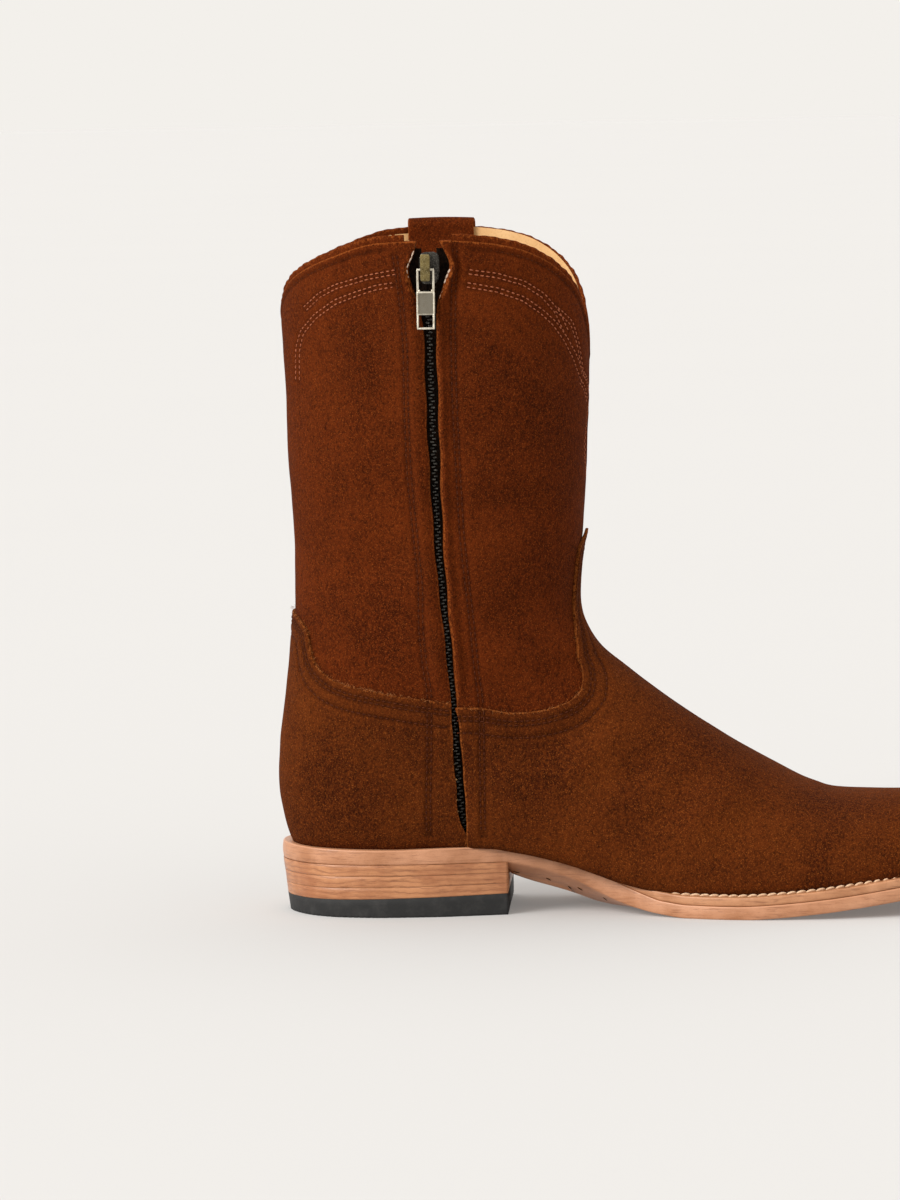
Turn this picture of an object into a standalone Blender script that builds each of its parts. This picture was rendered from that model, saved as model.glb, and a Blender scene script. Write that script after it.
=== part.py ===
"""Roper boot with a side zip, left foot, in metres.

+X runs to the toe, +Z is up and -Y is the inner (medial) side with the zip.
The origin is on the floor under the middle of the heel.
"""
import math
from collections import namedtuple

import bmesh
import bpy
from mathutils import Matrix, Vector

MM = 0.001

# Driving sizes of the sole and the heel
SOLE_LENGTH = 306.2 * MM
BALL_WIDTH = 106 * MM
HEEL_BACK = -46.2 * MM
HEEL_LENGTH = 92.4 * MM
SEAT_LEDGE = 1.2 * MM
SEAT_HEIGHT = 28.5 * MM
SEAT_THICKNESS = 7.0 * MM
OUTSOLE_THICKNESS = 5.5 * MM
WAIST_THICKNESS = 5.0 * MM
WELT_THICKNESS = 3.4 * MM
WELT_WIDTH = 14 * MM
WELT_START = 131 * MM
WELT_TAPER = 22.4 * MM
WELT_END = 3 * MM
TOE_SPRING = 15 * MM
WAIST_DOME = 10 * MM
INSOLE_THICKNESS = 3.0 * MM
INSOLE_INSET = 12.2 * MM
LIFT_COUNT = 3
CAP_BACK = 6.9 * MM
CAP_BREAST = 8.7 * MM
HEEL_LEAN = 2.4 * MM

# Driving sizes of the upper
SHAFT_HEIGHT = 275.4 * MM
SHAFT_WIDTH = 112 * MM
INSTEP_HEIGHT = 104 * MM
WALL = 2.4 * MM
OVERLAY = 1.4 * MM
BEAD_STAND = 3.0 * MM
BEAD_THICKNESS = 1.7 * MM
STRAP_WIDTH = 29.5 * MM
STRAP_THICKNESS = 1.6 * MM
STRAP_RISE = 3.2 * MM
STRAP_OUTER_LENGTH = 40 * MM
STRAP_INNER_LENGTH = 18 * MM

# Driving sizes of the zip
SLIT_WIDTH = 5.4 * MM
TAPE_WIDTH = 12 * MM
TAPE_THICKNESS = 0.7 * MM
TAPE_PARTING = 10.8 * MM
CHAIN_WIDTH = 5.6 * MM
CHAIN_THICKNESS = 2.2 * MM
SLIDER_WIDTH = 8.6 * MM
SLIDER_LENGTH = 11.5 * MM
SLIDER_THICKNESS = 4.6 * MM
CROWN_WIDTH = 2.8 * MM
CROWN_LENGTH = 9.9 * MM
CROWN_THICKNESS = 1.1 * MM
PULL_LENGTH = 24 * MM
PULL_WIDTH = 7.8 * MM
PULL_THICKNESS = 1.2 * MM
PULL_DROP = 14.1 * MM
PULL_RIM = 1.3 * MM
PULL_CORNER = 0.9 * MM
PULL_SPLAY = 3.0 * MM

# Height of the pull's pin, which hangs below the collar's top
PULL_HEIGHT = SHAFT_HEIGHT - PULL_DROP

# Clearances
GAP = 0.3 * MM
LAYER_GAP = 0.1 * MM

# Plan of the sole. along: share of SOLE_LENGTH from the back, widths: shares of BALL_WIDTH
PlanRow = namedtuple("PlanRow", "along medial lateral")
PLAN = [
    PlanRow(0.000, 0.000, 0.000),
    PlanRow(0.016, 0.150, 0.153),
    PlanRow(0.042, 0.236, 0.243),
    PlanRow(0.082, 0.293, 0.302),
    PlanRow(0.138, 0.316, 0.326),
    PlanRow(0.200, 0.309, 0.325),
    PlanRow(0.262, 0.280, 0.311),
    PlanRow(0.320, 0.250, 0.297),
    PlanRow(0.380, 0.240, 0.292),
    PlanRow(0.433, 0.262, 0.311),
    PlanRow(0.485, 0.325, 0.358),
    PlanRow(0.541, 0.396, 0.430),
    PlanRow(0.597, 0.441, 0.497),
    PlanRow(0.650, 0.458, 0.538),
    PlanRow(0.705, 0.457, 0.545),
    PlanRow(0.760, 0.440, 0.523),
    PlanRow(0.820, 0.402, 0.474),
    PlanRow(0.875, 0.350, 0.408),
    PlanRow(0.925, 0.284, 0.328),
    PlanRow(0.964, 0.208, 0.240),
    PlanRow(0.987, 0.130, 0.149),
    PlanRow(1.000, 0.000, 0.000),
]

# Side view of the sole. along: share of SOLE_LENGTH, seat: share of SEAT_HEIGHT in the top's
# height, spring: share of TOE_SPRING, welted: 0 bare waist to 1 full forefoot thickness,
# lean: fall of the top towards the outer side, dome: share of WAIST_DOME under the middle
ProfileRow = namedtuple("ProfileRow", "along seat spring welted lean dome")
PROFILE = [
    ProfileRow(0.000, 1.000, 0.0, 0.00, 0.000, 0.00),
    ProfileRow(0.060, 0.980, 0.0, 0.00, 0.000, 0.00),
    ProfileRow(0.150, 0.965, 0.0, 0.00, 0.000, 0.00),
    ProfileRow(0.240, 0.985, 0.0, 0.00, 0.000, 0.00),
    ProfileRow(0.285, 0.960, 0.0, 0.00, 0.010, 0.00),
    ProfileRow(0.306, 0.905, 0.0, 0.00, 0.025, 0.85),
    ProfileRow(0.345, 0.795, 0.0, 0.02, 0.050, 1.00),
    ProfileRow(0.390, 0.650, 0.0, 0.20, 0.060, 0.92),
    ProfileRow(0.420, 0.540, 0.0, 0.60, 0.055, 0.70),
    ProfileRow(0.455, 0.430, 0.0, 0.90, 0.035, 0.35),
    ProfileRow(0.500, 0.350, 0.0, 1.00, 0.012, 0.08),
    ProfileRow(0.540, 0.320, 0.0, 1.00, 0.000, 0.00),
    ProfileRow(0.600, 0.316, 0.0, 1.00, 0.000, 0.00),
    ProfileRow(0.650, 0.316, 0.05, 1.00, 0.000, 0.00),
    ProfileRow(0.720, 0.316, 0.18, 1.00, 0.000, 0.00),
    ProfileRow(0.810, 0.316, 0.42, 1.00, 0.000, 0.00),
    ProfileRow(0.900, 0.316, 0.70, 1.00, 0.000, 0.00),
    ProfileRow(1.000, 0.316, 1.00, 1.00, 0.000, 0.00),
]

# Sections of the foot part, from the toe's tip to the ankle bend. Each is a closed curve in the
# plane of its top point, its bottom point and Y. x: shares of LAST_LENGTH from the back, top_z:
# share of INSTEP_HEIGHT, sunk: share of SEAT_HEIGHT by which the bottom lies under the sole's
# top, widths: shares of BALL_WIDTH, widest: where on the line from bottom to top the width is
# largest, the two powers: how square the curve is above and below that
FootRow = namedtuple("FootRow", "top_x top_z bottom_x sunk medial lateral widest above below")
FOOT = [
    FootRow(0.9745, 0.318, 0.9745, 0.10, 0.022, 0.028, 0.50, 2.0, 2.0),
    FootRow(0.9700, 0.350, 0.9700, 0.28, 0.098, 0.112, 0.44, 2.0, 2.4),
    FootRow(0.9570, 0.382, 0.9570, 0.33, 0.170, 0.195, 0.40, 2.0, 2.8),
    FootRow(0.9330, 0.406, 0.9330, 0.35, 0.236, 0.276, 0.38, 2.0, 3.0),
    FootRow(0.8950, 0.421, 0.8950, 0.35, 0.294, 0.348, 0.37, 2.1, 3.2),
    FootRow(0.8460, 0.423, 0.8460, 0.35, 0.337, 0.408, 0.36, 2.1, 3.2),
    FootRow(0.7900, 0.424, 0.7900, 0.35, 0.373, 0.455, 0.36, 2.1, 3.2),
    FootRow(0.7340, 0.432, 0.7310, 0.35, 0.394, 0.482, 0.35, 2.1, 3.2),
    FootRow(0.7050, 0.457, 0.6990, 0.35, 0.399, 0.486, 0.345, 2.1, 3.2),
    FootRow(0.6750, 0.497, 0.6660, 0.35, 0.400, 0.485, 0.34, 2.1, 3.2),
    FootRow(0.6060, 0.612, 0.5930, 0.35, 0.390, 0.462, 0.33, 2.1, 3.0),
    FootRow(0.5380, 0.741, 0.5110, 0.35, 0.362, 0.417, 0.32, 2.1, 2.8),
    FootRow(0.4840, 0.856, 0.4230, 0.35, 0.330, 0.366, 0.33, 2.2, 2.6),
    FootRow(0.4475, 0.942, 0.3180, 0.35, 0.318, 0.336, 0.36, 2.3, 2.6),
    FootRow(0.4249, 0.998, 0.1970, 0.36, 0.321, 0.326, 0.40, 2.4, 2.6),
    FootRow(0.4105, 1.048, 0.0950, 0.37, 0.332, 0.333, 0.43, 2.5, 2.6),
]

# Sections of the shaft, from the ankle bend to above the collar. x as above, front_z: share of
# the way from the last foot row's top to SHAFT_HEIGHT, back_z: share of SHAFT_HEIGHT, half: half
# width as a share of SHAFT_WIDTH, the same on both sides
ShaftRow = namedtuple("ShaftRow", "front_x front_z back_x back_z half widest above below")
SHAFT = [
    ShaftRow(0.4007, 0.0332, 0.0260, 0.087, 0.327, 0.46, 2.6, 2.5),
    ShaftRow(0.3951, 0.0692, 0.0007, 0.163, 0.339, 0.48, 2.5, 2.4),
    ShaftRow(0.3934, 0.1143, 0.0003, 0.247, 0.353, 0.50, 2.4, 2.3),
    ShaftRow(0.3961, 0.1805, 0.0105, 0.334, 0.366, 0.50, 2.3, 2.2),
    ShaftRow(0.4030, 0.2705, 0.0187, 0.443, 0.384, 0.50, 2.2, 2.2),
    ShaftRow(0.4089, 0.4148, 0.0174, 0.581, 0.411, 0.50, 2.2, 2.2),
    ShaftRow(0.4138, 0.5950, 0.0126, 0.726, 0.441, 0.50, 2.1, 2.1),
    ShaftRow(0.4170, 0.7753, 0.0082, 0.864, 0.468, 0.50, 2.1, 2.1),
    ShaftRow(0.4193, 0.9555, 0.0059, 0.973, 0.489, 0.50, 2.1, 2.1),
    ShaftRow(0.4207, 1.0993, 0.0046, 1.060, 0.504, 0.50, 2.1, 2.1),
]

# Collar's height. angle: degrees round the shaft from the front, height: share of SHAFT_HEIGHT
CollarRow = namedtuple("CollarRow", "angle height")
COLLAR = [
    CollarRow(0, 0.8240),
    CollarRow(12, 0.8790),
    CollarRow(23, 0.9205),
    CollarRow(33, 0.9460),
    CollarRow(45, 0.9695),
    CollarRow(57, 0.9860),
    CollarRow(70, 0.9955),
    CollarRow(86, 1.0000),
    CollarRow(106, 0.9975),
    CollarRow(129, 0.9750),
    CollarRow(147, 0.9525),
    CollarRow(157, 0.9370),
    CollarRow(168, 0.9140),
    CollarRow(180, 0.8860),
]

# Line of the zip. height: share of SHAFT_HEIGHT, x: share of LAST_LENGTH, opening: share of
# SLIT_WIDTH
ZipRow = namedtuple("ZipRow", "height x opening")
ZIP = [
    ZipRow(0.120, 0.2460, 0.10),
    ZipRow(0.140, 0.2430, 0.55),
    ZipRow(0.185, 0.2400, 0.74),
    ZipRow(0.255, 0.2365, 0.74),
    ZipRow(0.320, 0.2340, 0.50),
    ZipRow(0.365, 0.2310, 0.56),
    ZipRow(0.430, 0.2265, 0.62),
    ZipRow(0.535, 0.2195, 0.76),
    ZipRow(0.630, 0.2165, 0.86),
    ZipRow(0.730, 0.2145, 1.00),
    ZipRow(0.865, 0.2130, 1.04),
    ZipRow(0.900, 0.2120, 1.55),
    ZipRow(0.925, 0.2120, 2.55),
    ZipRow(0.950, 0.2130, 2.85),
    ZipRow(0.975, 0.2140, 2.35),
    ZipRow(1.000, 0.2130, 1.55),
    ZipRow(1.060, 0.2130, 1.50),
]

# Upper edges of the overlays in side view, from the side seam. x: share of LAST_LENGTH,
# z: share of SHAFT_HEIGHT
EdgeRow = namedtuple("EdgeRow", "x z")
VAMP_EDGE = [
    EdgeRow(0.2400, 0.3100),
    EdgeRow(0.2700, 0.3080),
    EdgeRow(0.3100, 0.3000),
    EdgeRow(0.3500, 0.3020),
    EdgeRow(0.3830, 0.3125),
    EdgeRow(0.3990, 0.3280),
    EdgeRow(0.4080, 0.3400),
    EdgeRow(0.4230, 0.3480),
]
COUNTER_EDGE = [
    EdgeRow(0.2400, 0.3165),
    EdgeRow(0.1920, 0.3245),
    EdgeRow(0.1580, 0.3310),
    EdgeRow(0.1250, 0.3380),
    EdgeRow(0.0970, 0.3445),
    EdgeRow(0.0740, 0.3540),
    EdgeRow(0.0575, 0.3680),
    EdgeRow(0.0500, 0.3810),
    EdgeRow(0.0450, 0.4020),
    EdgeRow(0.0420, 0.4210),
    EdgeRow(0.0310, 0.4370),
    EdgeRow(0.0150, 0.4490),
]

# Tongue of the vamp in front view. z: share of SHAFT_HEIGHT, half: share of BALL_WIDTH
TongueRow = namedtuple("TongueRow", "z half")
TONGUE = [
    TongueRow(0.3300, 0.245),
    TongueRow(0.3530, 0.208),
    TongueRow(0.3860, 0.176),
    TongueRow(0.4080, 0.158),
    TongueRow(0.4240, 0.134),
    TongueRow(0.4450, 0.120),
    TongueRow(0.4700, 0.111),
    TongueRow(0.5000, 0.105),
    TongueRow(0.5300, 0.102),
    TongueRow(0.5420, 0.060),
    TongueRow(0.5580, 0.004),
]

# Openings of the pull tab. Shares of PULL_LENGTH down from the pin
WindowRow = namedtuple("WindowRow", "name high low")
PULL_WINDOWS = [
    WindowRow("cut_pull_prongs", 0.03, 0.37),
    WindowRow("cut_pull_slot", 0.74, 0.94),
]

# Facets round the upper, the row where they get closer for the bend, and the sole's share of
# length where its stations start to close up towards the toe
ROUND_STEPS = 26
BEND_START = 10
FOREFOOT_START = 0.52

# How far the flats of the wall's facets stand inside its true curve, and what clears them
FACET_DIP = SHAFT_WIDTH / 2 * (1 - math.cos(math.pi / ROUND_STEPS)) * 1.2
INSIDE_WALL = WALL + FACET_DIP + GAP


# Tables and curves

def hermite(a, b, slope_a, slope_b, s):
    """Cubic from a to b with end slopes given per unit of s."""
    return (a * (2 * s ** 3 - 3 * s ** 2 + 1) + slope_a * (s ** 3 - 2 * s ** 2 + s)
            + b * (3 * s ** 2 - 2 * s ** 3) + slope_b * (s ** 3 - s ** 2))


def by_row(values, place):
    """Smooth value at a place counted in rows."""
    index = min(max(int(place), 0), len(values) - 2)
    left = values[index - 1] if index > 0 else values[index]
    right = values[index + 2] if index + 2 < len(values) else values[index + 1]
    a, b = values[index], values[index + 1]
    return hermite(a, b, (b - left) / 2, (right - a) / 2, place - index)


def by_key(keys, values, key):
    """Smooth value at a key between unevenly spaced keys, without overshoot."""
    key = min(max(key, keys[0]), keys[-1])
    index = 0
    while index < len(keys) - 2 and key > keys[index + 1]:
        index += 1
    grades = [(values[i + 1] - values[i]) / (keys[i + 1] - keys[i]) for i in range(len(keys) - 1)]

    def slope(i):
        if i == 0 or i == len(keys) - 1:
            return grades[min(i, len(grades) - 1)]
        before, after = grades[i - 1], grades[i]
        if before * after <= 0:
            return 0.0
        return 2 * before * after / (before + after)

    span = keys[index + 1] - keys[index]
    return hermite(values[index], values[index + 1], slope(index) * span,
                   slope(index + 1) * span, (key - keys[index]) / span)


def column(rows, name):
    return [getattr(row, name) for row in rows]


def along_x(share):
    """Place at a share of the last's length, which starts a ledge inside the sole's back."""
    return LAST_BACK + share * LAST_LENGTH


def share_of(x):
    return (x - HEEL_BACK) / SOLE_LENGTH


LAST_BACK = HEEL_BACK + SEAT_LEDGE
LAST_LENGTH = SOLE_LENGTH - SEAT_LEDGE

# The sole's functions

PLAN_TURN = [math.acos(1 - 2 * row.along) for row in PLAN]
PLAN_MEDIAL = column(PLAN, "medial")
PLAN_LATERAL = column(PLAN, "lateral")
PROFILE_ALONG = column(PROFILE, "along")
PROFILE_COLUMNS = {name: column(PROFILE, name) for name in ProfileRow._fields}
FOREFOOT_THICKNESS = OUTSOLE_THICKNESS + GAP + WELT_THICKNESS


def sole_half(x, side):
    """Half width of the sole at x: side -1 is medial, +1 lateral."""
    turn = math.acos(min(max(1 - 2 * share_of(x), -1.0), 1.0))
    widths = PLAN_MEDIAL if side < 0 else PLAN_LATERAL
    return BALL_WIDTH * by_key(PLAN_TURN, widths, turn)


def profile(x, name):
    return by_key(PROFILE_ALONG, PROFILE_COLUMNS[name], share_of(x))


def sole_top(x, y):
    """Height of the surface that the upper and the insole stand on."""
    return (profile(x, "seat") * SEAT_HEIGHT + profile(x, "spring") * TOE_SPRING
            - profile(x, "lean") * y)


def edge_thickness(x):
    """Thickness of the sole's edge, welt and its gap included."""
    waist = WAIST_THICKNESS + (FOREFOOT_THICKNESS - WAIST_THICKNESS) * profile(x, "welted")
    if x > HEEL_BACK + HEEL_LENGTH:
        return waist
    return SEAT_THICKNESS


def seat_bottom():
    return SEAT_HEIGHT - SEAT_THICKNESS


def outsole_top(x, y):
    """Top of the outsole, lowered under the welt where the welt lies on it."""
    lowered = (WELT_THICKNESS + GAP) * welt_cover(x)
    return sole_top(x, y) - lowered


def welt_cover(x):
    """0 behind the welt's ends, rising to 1 over the taper of each end."""
    start = HEEL_BACK + WELT_START
    return min(max((x - start) / WELT_TAPER, 0.0), 1.0)


def outsole_bottom(x, y):
    """Underside: flat on the heel, domed in the waist, flat on the floor at the ball."""
    if x <= HEEL_BACK + HEEL_LENGTH:
        return seat_bottom()
    edge = sole_top(x, y) - edge_thickness(x)
    half = sole_half(x, math.copysign(1, y))
    share = min(abs(y) / half, 1.0)
    domed = edge - profile(x, "dome") * WAIST_DOME * (1 - share ** 2)
    return max(domed, 0.0)


# The upper's function

Section = namedtuple("Section", "top bottom medial lateral widest above below")


def foot_section(row):
    bottom_x = along_x(row.bottom_x)
    bottom_z = sole_top(bottom_x, 0) - row.sunk * SEAT_HEIGHT
    return Section(Vector((along_x(row.top_x), 0, row.top_z * INSTEP_HEIGHT)),
                   Vector((bottom_x, 0, bottom_z)), row.medial * BALL_WIDTH,
                   row.lateral * BALL_WIDTH, row.widest, row.above, row.below)


def shaft_section(row):
    ankle_z = FOOT[-1].top_z * INSTEP_HEIGHT
    front_z = ankle_z + row.front_z * (SHAFT_HEIGHT - ankle_z)
    return Section(Vector((along_x(row.front_x), 0, front_z)),
                   Vector((along_x(row.back_x), 0, row.back_z * SHAFT_HEIGHT)),
                   row.half * SHAFT_WIDTH, row.half * SHAFT_WIDTH, row.widest, row.above,
                   row.below)


SECTIONS = [foot_section(row) for row in FOOT] + [shaft_section(row) for row in SHAFT]
LAST_ROW = len(SECTIONS) - 1
ANKLE_ROW = len(FOOT)

# Where the shells of the overlays start behind the instep and end above the tongue's tip
COUNTER_ROW = ANKLE_ROW - 5
TONGUE_ROW = ANKLE_ROW + 4.6


def section_at(place):
    """Section at a place counted in rows of the two tables together."""
    values = []
    for name in Section._fields:
        values.append(by_row([getattr(section, name) for section in SECTIONS], place))
    return Section(*values)


def power_cos(angle, power):
    value = math.cos(angle)
    return math.copysign(abs(value) ** (2 / power), value)


def power_sin(angle, power):
    value = math.sin(angle)
    return math.copysign(abs(value) ** (2 / power), value)


def section_point(section, angle):
    """Point of a section: angle 0 is its top or front, 90 degrees medial, 180 its bottom."""
    centre = section.bottom.lerp(section.top, section.widest)
    upper_half = math.cos(angle) >= 0
    arm = section.top - centre if upper_half else centre - section.bottom
    power = section.above if upper_half else section.below
    width = section.medial if math.sin(angle) >= 0 else section.lateral
    return (centre + arm * power_cos(angle, power)
            + Vector((0, -width * power_sin(angle, power), 0)))


SECTION_CACHE = {}


def cached_section(place):
    key = round(place, 9)
    if key not in SECTION_CACHE:
        SECTION_CACHE[key] = section_at(place)
    return SECTION_CACHE[key]


def upper_point(place, angle, offset=0.0):
    """Point of the upper's outer surface, moved outwards by an offset."""
    point = section_point(cached_section(place), angle)
    if offset == 0.0:
        return point
    step = 0.02
    back = cached_section(max(place - step, 0.0))
    ahead = cached_section(min(place + step, LAST_ROW))
    lengthwise = section_point(ahead, angle) - section_point(back, angle)
    section = cached_section(place)
    around = section_point(section, angle + step) - section_point(section, angle - step)
    normal = lengthwise.cross(around)
    if normal.length < 1e-12:
        return point
    return point + normal.normalized() * offset


def place_at_height(angle, z):
    """Place on the shaft where the surface at this angle has height z."""
    low, high = ANKLE_ROW + 1.0, float(LAST_ROW)
    for _ in range(22):
        middle = (low + high) / 2
        if upper_point(middle, angle).z < z:
            low = middle
        else:
            high = middle
    return (low + high) / 2


def shaft_point(angle, z, offset=0.0):
    return upper_point(place_at_height(angle, z), angle, offset)


def side_place(x, z, side=1):
    """Place and angle of the surface point seen at x, z from the side: +1 medial."""
    place, angle = ANKLE_ROW + 4.0, math.pi / 2 * side
    for _ in range(14):
        here = upper_point(place, angle)
        step = 0.01
        by_place = (upper_point(place + step, angle) - here) / step
        by_angle = (upper_point(place, angle + step) - here) / step
        miss_x, miss_z = x - here.x, z - here.z
        size = by_place.x * by_angle.z - by_angle.x * by_place.z
        move = (miss_x * by_angle.z - by_angle.x * miss_z) / size
        turn = (by_place.x * miss_z - miss_x * by_place.z) / size
        place += min(max(move, -1.0), 1.0)
        angle += min(max(turn, -0.3), 0.3)
        place = min(max(place, 8.0), LAST_ROW - 0.02)
    return place, angle


def side_point(x, z, offset=0.0, side=1):
    place, angle = side_place(x, z, side)
    return upper_point(place, angle, offset)


def bead_top(angle):
    """Height of the collar bead's top edge at an angle round the shaft."""
    turned = math.degrees(angle) % 360
    turned = min(turned, 360 - turned)
    return SHAFT_HEIGHT * by_key(column(COLLAR, "angle"), column(COLLAR, "height"), turned)


def collar_height(angle):
    return bead_top(angle) - BEAD_STAND


ZIP_HEIGHT = column(ZIP, "height")


def zip_x(z):
    return along_x(by_key(ZIP_HEIGHT, column(ZIP, "x"), z / SHAFT_HEIGHT))


def slit_half(z):
    return SLIT_WIDTH / 2 * by_key(ZIP_HEIGHT, column(ZIP, "opening"), z / SHAFT_HEIGHT)


# Making solids

def clear_scene():
    for item in list(bpy.data.objects):
        bpy.data.objects.remove(item, do_unlink=True)


def make_collection(name):
    collection = bpy.data.collections.new(name)
    bpy.context.scene.collection.children.link(collection)
    return collection


def make_material(name, colour, roughness, metallic=0.0):
    material = bpy.data.materials.new(name)
    material.use_nodes = True
    shader = material.node_tree.nodes["Principled BSDF"]
    shader.inputs["Base Color"].default_value = (*colour, 1.0)
    shader.inputs["Roughness"].default_value = roughness
    shader.inputs["Metallic"].default_value = metallic
    return material


def finish_mesh(mesh, name, collection, material=None, closed=True):
    if closed:
        bmesh.ops.recalc_face_normals(mesh, faces=mesh.faces)
    data = bpy.data.meshes.new(name)
    mesh.to_mesh(data)
    mesh.free()
    item = bpy.data.objects.new(name, data)
    collection.objects.link(item)
    if material is not None:
        data.materials.append(material)
        data.shade_smooth()
        data.set_sharp_from_angle(angle=math.radians(40))
    return item


def rings_mesh(rings, closed_round=True, close_ends=True, closed_along=False):
    """Skin over rings of points; each ring is a closed loop when closed_round."""
    mesh = bmesh.new()
    loops = [[mesh.verts.new(point) for point in ring] for ring in rings]
    count = len(loops[0])
    spans = count if closed_round else count - 1
    pairs = list(zip(loops, loops[1:]))
    if closed_along:
        pairs.append((loops[-1], loops[0]))
    for first, second in pairs:
        for i in range(spans):
            j = (i + 1) % count
            mesh.faces.new((first[i], first[j], second[j], second[i]))
    if close_ends and not closed_along:
        mesh.faces.new(list(reversed(loops[0])))
        mesh.faces.new(loops[-1])
    return mesh


def slab_mesh(rows_top, rows_bottom):
    """Closed slab between two grids of the same size."""
    rings = [top + list(reversed(bottom)) for top, bottom in zip(rows_top, rows_bottom)]
    return rings_mesh(rings)


def as_cutter(item):
    item.hide_render = True
    item.display_type = "WIRE"
    return item


def add_cut(item, cutter, operation="DIFFERENCE"):
    modifier = item.modifiers.new(operation.lower() + "_" + cutter.name, "BOOLEAN")
    modifier.operation = operation
    modifier.object = cutter
    modifier.solver = "EXACT"


def prism(name, outline, near_y, far_y, collection):
    """Closed prism over an outline in X and Z, running along Y."""
    rings = [[Vector((x, y, z)) for x, z in outline] for y in (near_y, far_y)]
    return as_cutter(finish_mesh(rings_mesh(rings), name, collection))


def stations(start, end, count, round_start=False, round_end=False):
    """Places from start to end, closer together at a rounded end."""
    places = []
    for i in range(count + 1):
        s = i / count
        if round_start and round_end:
            s = (1 - math.cos(math.pi * s)) / 2
        elif round_end:
            s = math.sin(math.pi / 2 * s)
        elif round_start:
            s = 1 - math.cos(math.pi / 2 * s)
        places.append(start + (end - start) * s)
    return places


# The sole and the heel

ACROSS = [-1.0, -0.75, -0.4, 0.0, 0.4, 0.75, 1.0]
END_TRIM = 0.15 * MM
CUTTER_COLUMNS = 11


def slab_rows(xs, inset, top, bottom):
    """Grids of a layer of the sole over stations xs, set in from the plan by inset."""
    rows_top, rows_bottom = [], []
    for x in xs:
        medial, lateral = inset_half(x, inset, -1), inset_half(x, inset, 1)
        ys = [share * (medial if share < 0 else lateral) for share in ACROSS]
        rows_top.append([Vector((x, y, top(x, y))) for y in ys])
        rows_bottom.append([Vector((x, y, bottom(x, y))) for y in ys])
    return rows_top, rows_bottom


def inset_half(x, inset, side):
    """Half width of the plan drawn smaller all round by about inset."""
    if inset == 0:
        return max(sole_half(x, side), 0.5 * MM)
    middle = along_x(0.5)
    shrink = (SOLE_LENGTH / 2 - inset) / (SOLE_LENGTH / 2)
    wide_x = middle + (x - middle) / shrink
    full = sole_half(wide_x, side)
    return max(full - inset * min(full / (2 * inset), 1.0), 0.5 * MM)


def sole_stations():
    """Stations along the sole, shared by all that lies on it."""
    breast = HEEL_BACK + HEEL_LENGTH
    first = HEEL_BACK + END_TRIM
    last = HEEL_BACK + SOLE_LENGTH - END_TRIM
    xs = stations(first, breast, 10, round_start=True)
    middle = along_x(FOREFOOT_START)
    xs += stations(breast + LAYER_GAP, middle, 14)
    return xs + stations(middle, last, 14, round_end=True)[1:]


def stations_between(low, high):
    near = 2 * LAYER_GAP
    return [low] + [x for x in sole_stations() if low + near < x < high - near] + [high]


def build_outsole(parts, leather):
    top, bottom = slab_rows(sole_stations(), 0, outsole_top, outsole_bottom)
    finish_mesh(slab_mesh(top, bottom), "outsole", parts, leather)


def build_insole(parts, leather):
    first = HEEL_BACK + INSOLE_INSET
    last = HEEL_BACK + SOLE_LENGTH - INSOLE_INSET
    xs = stations_between(first, last)

    def lower(x, y):
        return sole_top(x, y) + GAP

    def upper(x, y):
        return lower(x, y) + INSOLE_THICKNESS

    top, bottom = slab_rows(xs, INSOLE_INSET, upper, lower)
    finish_mesh(slab_mesh(top, bottom), "insole", parts, leather)


def plan_loop(inset, start_x, count):
    """Horseshoe of plan points from the medial start round the toe to the lateral start."""
    points = []
    last = HEEL_BACK + SOLE_LENGTH - inset - END_TRIM
    xs = stations(start_x, last, count, round_end=True)
    for x in xs:
        points.append((x, -inset_half(x, inset, -1)))
    for x in reversed(xs):
        points.append((x, inset_half(x, inset, 1)))
    return points


def build_welt(parts, leather):
    """Horseshoe strip that tapers out to nothing at its two ends."""
    start = HEEL_BACK + WELT_START + WELT_END
    count = 24
    outer = plan_loop(0, start, count)
    inner = plan_loop(WELT_WIDTH, start, count)
    rings = []
    for (outer_x, outer_y), (inner_x, inner_y) in zip(outer, inner):
        ring = []
        for x, y in ((outer_x, outer_y), (inner_x, inner_y)):
            ring.append(Vector((x, y, sole_top(x, y))))
        for x, y in ((inner_x, inner_y), (outer_x, outer_y)):
            thick = max(WELT_THICKNESS * welt_cover(x - WELT_END), 2 * LAYER_GAP)
            ring.append(Vector((x, y, sole_top(x, y) - thick)))
        rings.append(ring)
    finish_mesh(rings_mesh(rings), "welt", parts, leather)


def heel_outline(drop):
    """Heel's plan at a share of its height down from the seat."""
    lean = HEEL_LEAN * drop
    breast = HEEL_BACK + HEEL_LENGTH
    xs = stations(HEEL_BACK + END_TRIM, breast, 14, round_start=True)
    shrink = (HEEL_LENGTH - lean) / HEEL_LENGTH
    side_lean = lean / 2
    medial, lateral = [], []
    for x in xs:
        moved = breast - (breast - x) * shrink
        medial.append((moved, -max(sole_half(x, -1) - side_lean, 0.4 * MM)))
        lateral.append((moved, max(sole_half(x, 1) - side_lean, 0.4 * MM)))
    return medial + list(reversed(lateral))


def heel_layer(name, low, high, parts, material):
    """Layer between two slanting planes, each a pair of heights at back and breast."""
    seat = seat_bottom()

    def ring(heights):
        level = sum(heights) / 2
        points = []
        for x, y in heel_outline(1 - level / seat):
            share = (x - HEEL_BACK) / HEEL_LENGTH
            points.append(Vector((x, y, heights[0] + (heights[1] - heights[0]) * share)))
        return points

    finish_mesh(rings_mesh([ring(low), ring(high)]), name, parts, material)


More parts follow.
